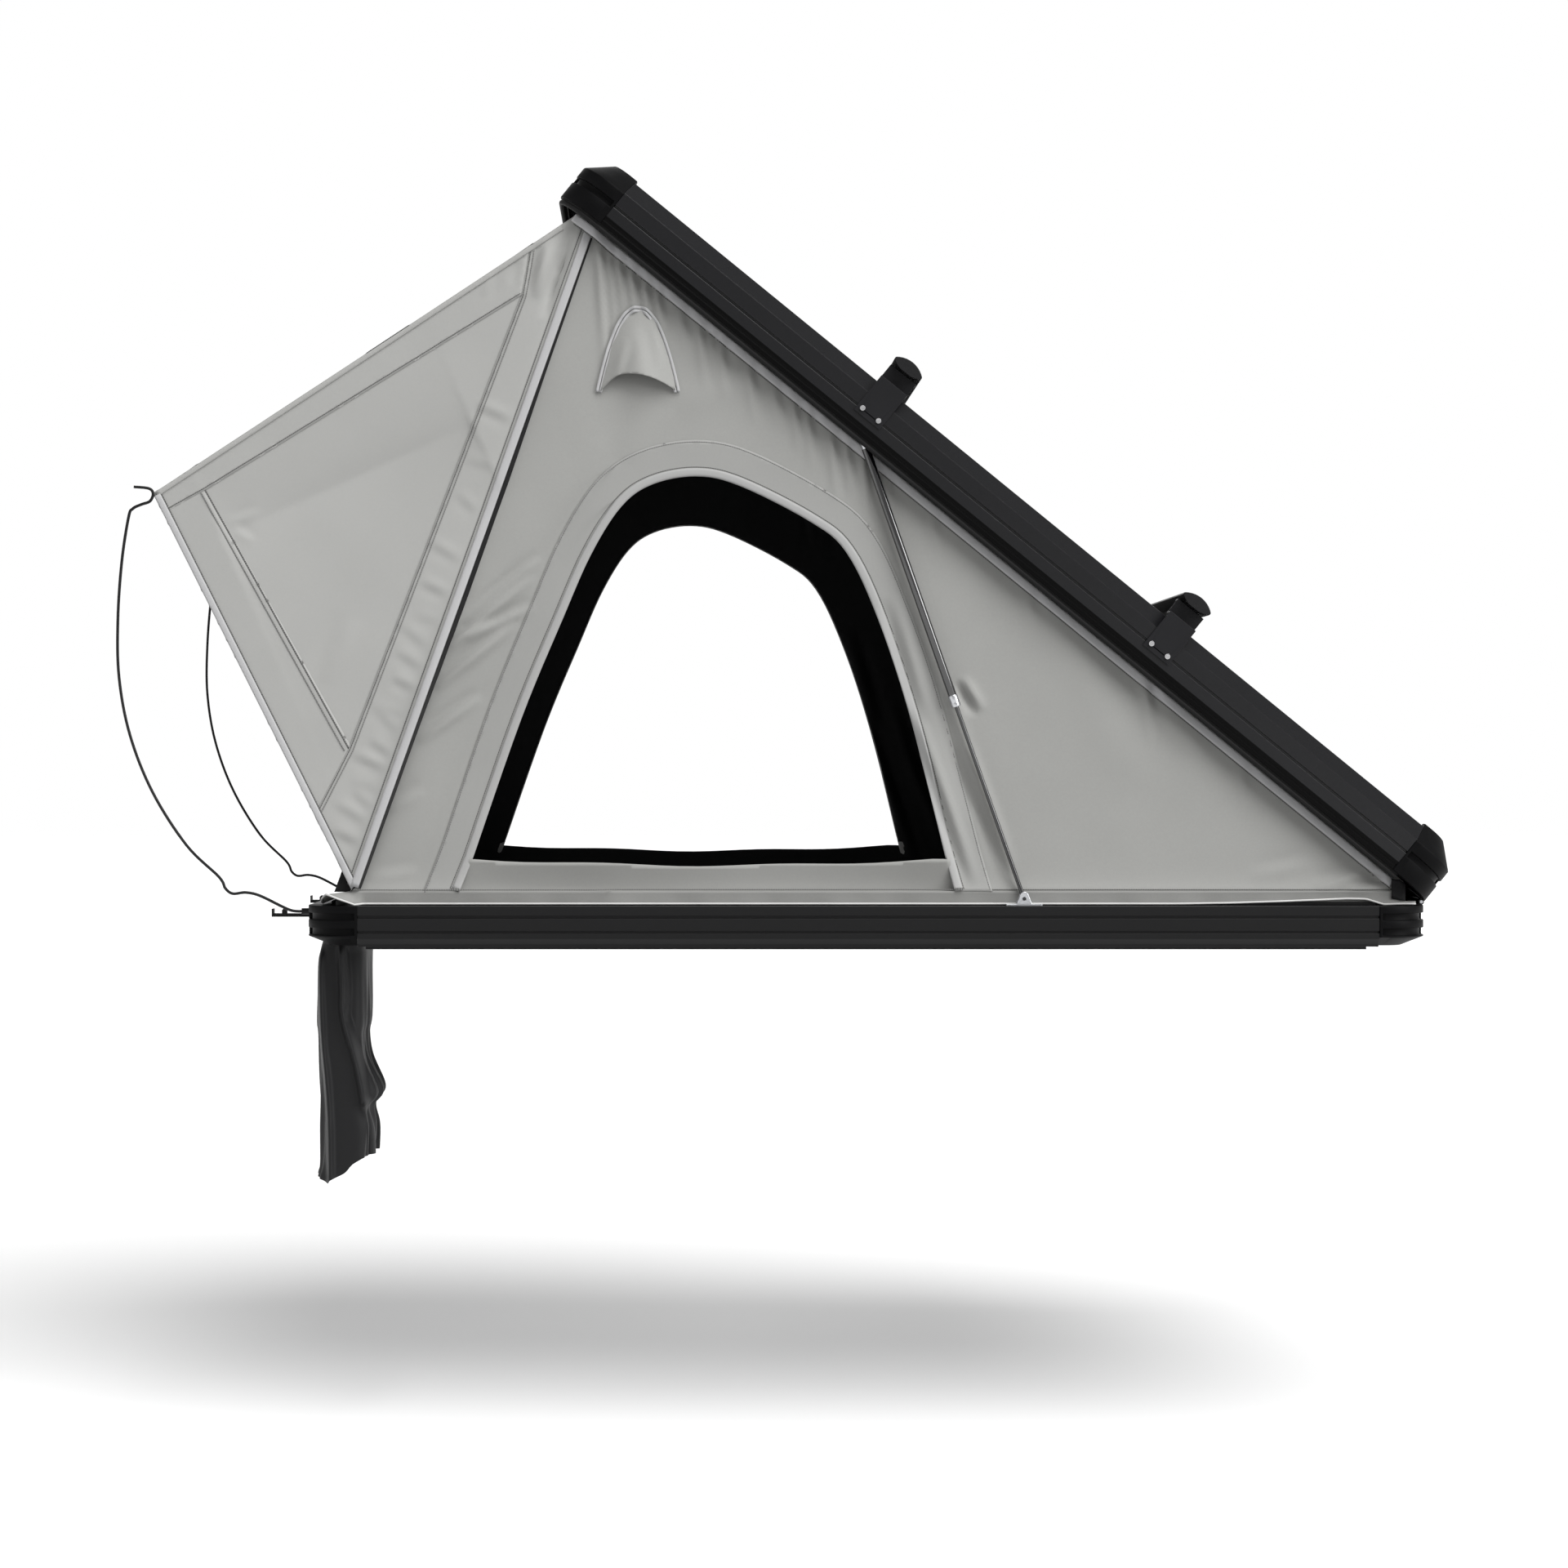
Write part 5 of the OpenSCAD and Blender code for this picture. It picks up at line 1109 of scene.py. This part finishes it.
def wing_edge_and_gap_shade(side):
    """Black edge under the rear binding, back to the wall: black seam allowance widened midway as painted
    shade.
    """
    share = np.linspace(0, 1, len(edge_steps))
    gap = np.interp(share, [0, 0.25, 0.45, 0.62, 0.8, 1], [0.0035, 0.0045, 0.0085, 0.0085, 0.005, 0.003])
    binding_edge = 0.0085
    outer = edge_steps - rear_side * binding_edge
    inner = outer - rear_side * gap[:, None]
    place = on_wall(side)
    points = np.vstack([place(outer, wing_stand(outer) + 0.004), place(inner, wall_out(inner) - 0.001)])
    count = len(edge_steps)
    return points, [(i, i + 1, count + i + 1, count + i) for i in range(count - 1)]


for side, hand in ((-1, "left"), (1, "right")):
    flip = side > 0
    place = on_wall(side)
    wing = sew(f"{hand}_wing", place, *wing_cut, wing_stand(wing_cut[0]), [wing_canvas, lining], flip)
    # The wing's black edge is partly its black seam allowance and partly painted shade in the gap to the wall
    trims = [new_piece(f"{hand}_wing_black_edge_and_gap_shade", *wing_edge_and_gap_shade(side), [lining])]
    for name, (outline, lift) in wing_bands.items():
        band_cut = cut_cloth(outline)
        band_stand = wing_stand(band_cut[0]) + lift
        trims.append(sew(f"{hand}_wing_{name}_band", place, *band_cut, band_stand, [wing_canvas],
                         flip, 0.0007))
    for name, path, width, height, lift, material in wing_rows:
        trims.append(sew_strip(f"{hand}_wing_{name}", place, path, width, height,
                               raised(wing_stand, lift), material, flip))
    for piece in (wing, *trims):
        fold_away(piece)
    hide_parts(f"{hand}_awning_wing")

roof_way = (wing_tip - wing_top) / np.linalg.norm(wing_tip - wing_top)
roof_up = np.array([roof_way[1], -roof_way[0]])
roof_len = float(np.linalg.norm(wing_tip - wing_top))
on_awning = on_slope(wing_top, roof_way, roof_up)


def awning_stand(points):
    """The roof sags a little between its wings, with shallow folds drawn from the tips."""
    span = 1 - (points[:, 0] / front_half) ** 2
    out = -0.012 * span * np.sin(math.pi * np.clip(points[:, 1] / roof_len, 0, 1)) ** 0.7
    out += 0.003 * ripple(points, 2.5, 2.2)
    for x in (-1, 1):
        for reach, drop in ((0.35, 0.25), (0.22, 0.38), (0.12, 0.45)):
            start = (x * (front_half - 0.02), roof_len - 0.02)
            end = (x * (front_half - reach), roof_len - drop)
            out += crease(points, start, end, 0.02, 0.004)
    return out


roof_margin = 0.006
awning_cut = cut_cloth(panel(front_half, roof_margin, roof_len), step=0.012)
awning = sew("awning_roof_cloth", on_awning, *awning_cut, awning_stand(awning_cut[0]), [canvas, lining])
tip_line = np.array([(-front_half + 0.004, roof_len - 0.007), (front_half - 0.004, roof_len - 0.007)])
awning_hem = sew_strip("awning_front_hem", on_awning, tip_line, 0.014, 0.003, awning_stand, pale_tape)
awning_stitches = sew_strip("awning_front_stitches", on_awning, tip_line - [0, 0.011], 0.0018, 0.0009,
                            awning_stand, seam_thread)
for piece in (awning, awning_hem, awning_stitches):
    fold_away(piece)
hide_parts("awning_roof")

# Awning rods: bent spring wire from a socket at the front rail, out and up to a hook over the awning's tip.
# Points are measured from the socket's mouth to the front and up, with the share of the sideways shift.
rod_bends = [(0, 0, 0), (12, 0, 0), (22, 0, 0), (34, 2, 0.02), (52, 10, 0.05), (92, 30, 0.12),
             (118, 36, 0.16), (142, 34, 0.2), (156, 44, 0.22), (168, 66, 0.26), (228, 126, 0.38),
             (290, 226, 0.55), (331, 334, 0.7), (350, 442, 0.82), (351, 550, 0.92), (343, 658, 0.98),
             (330, 742, 1), (322, 758, 1), (306, 766, 1), (290, 772, 1), (284, 786, 1), (292, 796, 1),
             (320, 799, 1)]
rod_radius = 0.00275
rod_wire = mottle(
    new_finish("spring_wire", (0.006, 0.006, 0.0063), 0.34, Specular_IOR_Level=0.25),
    40, 0.25, 700, 0.08, 0.00003)
millimetre = 0.001
socket_low, socket_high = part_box("rod_sockets")
mouth_level = socket_low.z + (socket_high.z - socket_low.z) / 2
for side, hand in ((-1, "left"), (1, "right")):
    low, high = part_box(f"{hand}_awning_rod")
    inner_y, outer_y = sorted((abs(low.y), abs(high.y)))
    start_y, end_y = inner_y + rod_radius, outer_y - rod_radius
    route = []
    for x, z, share in rod_bends:
        sideways = side * (start_y + share * (end_y - start_y))
        route.append((high.x - x * millimetre, sideways, z * millimetre + mouth_level))
    rod = tube_along(f"{hand}_spring_rod", smooth_path(route, 8), rod_radius, rod_wire, 12)
    fold_away(rod)
    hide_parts(f"{hand}_awning_rod")

# Shoe bag: a limp bag of thin charcoal cloth, hung by its bound rim under the front left corner.
# It is empty, so its sides fall in deep upright folds and its slanted bottom hangs in a point.
bag_low, bag_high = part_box("shoe_bag")
bag_rows, bag_cols = 110, 260
bag_middle = (bag_low.y + bag_high.y) / 2
bag_half_w = (bag_high.y - bag_low.y) / 2
bag_top, bag_len = bag_high.z, bag_high.z - bag_low.z
bag_cloth = canvas_finish("charcoal_bag_cloth", (0.0075, 0.0075, 0.0082), 0.14, 0.5)
# Down the bag: its front and back edges, and the three ridges that its weight draws from the rim.
# The last row is its lower edge along the tent, as a share of its length.
bag_front_line = smooth_path([(0, -1.03), (0.05, -1.036), (0.12, -1.0425), (0.34, -1.044), (0.43, -1.0395),
                              (0.73, -1.034), (0.92, -1.0325), (1, -1.0385)], 8)
bag_back_line = smooth_path([(0, -0.9475), (0.15, -0.9498), (0.37, -0.9513), (0.45, -0.956), (0.56, -0.9513),
                             (0.72, -0.928), (0.78, -0.946), (0.88, -0.941), (1, -0.943)], 8)
front_ridge = smooth_path([(0, -1.0325), (0.15, -1.0335), (0.33, -1.031), (0.44, -1.0285), (0.58, -1.0215),
                           (0.76, -1.0165), (1, -1.015)], 8)
back_ridge = smooth_path([(0, -0.9945), (0.2, -0.9905), (0.33, -0.989), (0.51, -0.97), (0.65, -0.9575),
                          (0.78, -0.9495), (0.88, -0.942), (1, -0.94)], 8)
second_ridge = smooth_path([(0, -0.987), (0.2, -0.981), (0.31, -0.983), (0.36, -0.989)], 8)
bag_hem = smooth_path([(-1.046, 0.972), (-1.022, 1), (-1.015, 0.985), (-0.987, 0.955), (-0.97, 0.912),
                       (-0.94, 0.888), (-0.925, 0.875)], 8)


def squared(values):
    """Pulls a circle's coordinate out towards a rounded rectangle's."""
    return np.sign(values) * abs(values) ** 0.4


def even_loop(count, half_x, half_y):
    """Points of a rounded rectangle, evenly spaced around it, each as shares of its two halves."""
    turn = np.linspace(0, 2 * math.pi, 4000)
    shares = np.column_stack([squared(np.cos(turn)), squared(np.sin(turn))])
    steps = np.linalg.norm(np.diff(shares * [half_x, half_y], axis=0), axis=1)
    run = np.concatenate([[0], np.cumsum(steps)])
    even = np.linspace(0, run[-1], count, endpoint=False)
    return np.column_stack([np.interp(even, run, shares[:, k]) for k in range(2)])


bag_loop = even_loop(bag_cols, 0.045, bag_half_w - 0.012)


def bag_ridges(x, share):
    """How far the bag's side stands out: two long ridges and a short one, falling back beyond them."""
    ridges = (front_ridge, back_ridge, second_ridge)
    front, back, second = (np.interp(share, line[:, 0], line[:, 1]) for line in ridges)
    out = 0.012 * math.exp(-((x - front) / 0.006) ** 2) + 0.013 * math.exp(-((x - back) / 0.006) ** 2)
    out += 0.008 * math.exp(-((x - second) / 0.004) ** 2) * np.clip((0.36 - share) / 0.06, 0, 1)
    out -= 0.016 * np.clip((x - back) / 0.012, 0, 1) + 0.014 * np.clip((front - x) / 0.01, 0, 1)
    return out * np.clip(share / 0.06, 0.2, 1)


def bag_point(row, col):
    """Down the bag and around it; the folds deepen away from the rim."""
    across, sideways = bag_loop[col]
    share = row / bag_rows
    front_x = np.interp(share, bag_front_line[:, 0], bag_front_line[:, 1])
    back_x = np.interp(share, bag_back_line[:, 0], bag_back_line[:, 1])
    x = (front_x + back_x) / 2 + across * (back_x - front_x) / 2
    hang = np.interp(x, bag_hem[:, 0], bag_hem[:, 1])
    fold = 0.006 * math.sin(9 * sideways + 5 * share) + 0.004 * math.sin(23 * sideways - 7 * share)
    x += fold * share * (1 - sideways ** 4)
    y = bag_middle + sideways * (bag_half_w - 0.014 - 0.012 * share + bag_ridges(x, share))
    return (x, y, max(bag_top - share * hang * bag_len, bag_low.z))


bag_points = [bag_point(r, c) for r in range(bag_rows + 1) for c in range(bag_cols)]
bag_faces = swept_faces(bag_rows + 1, bag_cols)
bag_faces = bag_faces[:-2] + bag_faces[-1:]
bag = new_piece("limp_shoe_bag", bag_points, bag_faces, [bag_cloth])
bag_run = [(c * 0.0027, r * bag_len / bag_rows) for r in range(bag_rows + 1) for c in range(bag_cols)]
lay_uv(bag, bag_run)
thicken(bag, 0.001)
rim_points = [Vector(p) + Vector((0, 0, -0.009)) for p in bag_points[:bag_cols]]
bag_rim = tube_along("shoe_bag_rim", rim_points, 0.0032, bag_cloth, 8, closed=True)
for piece in (bag, bag_rim):
    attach(piece, "base")
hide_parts("shoe_bag")
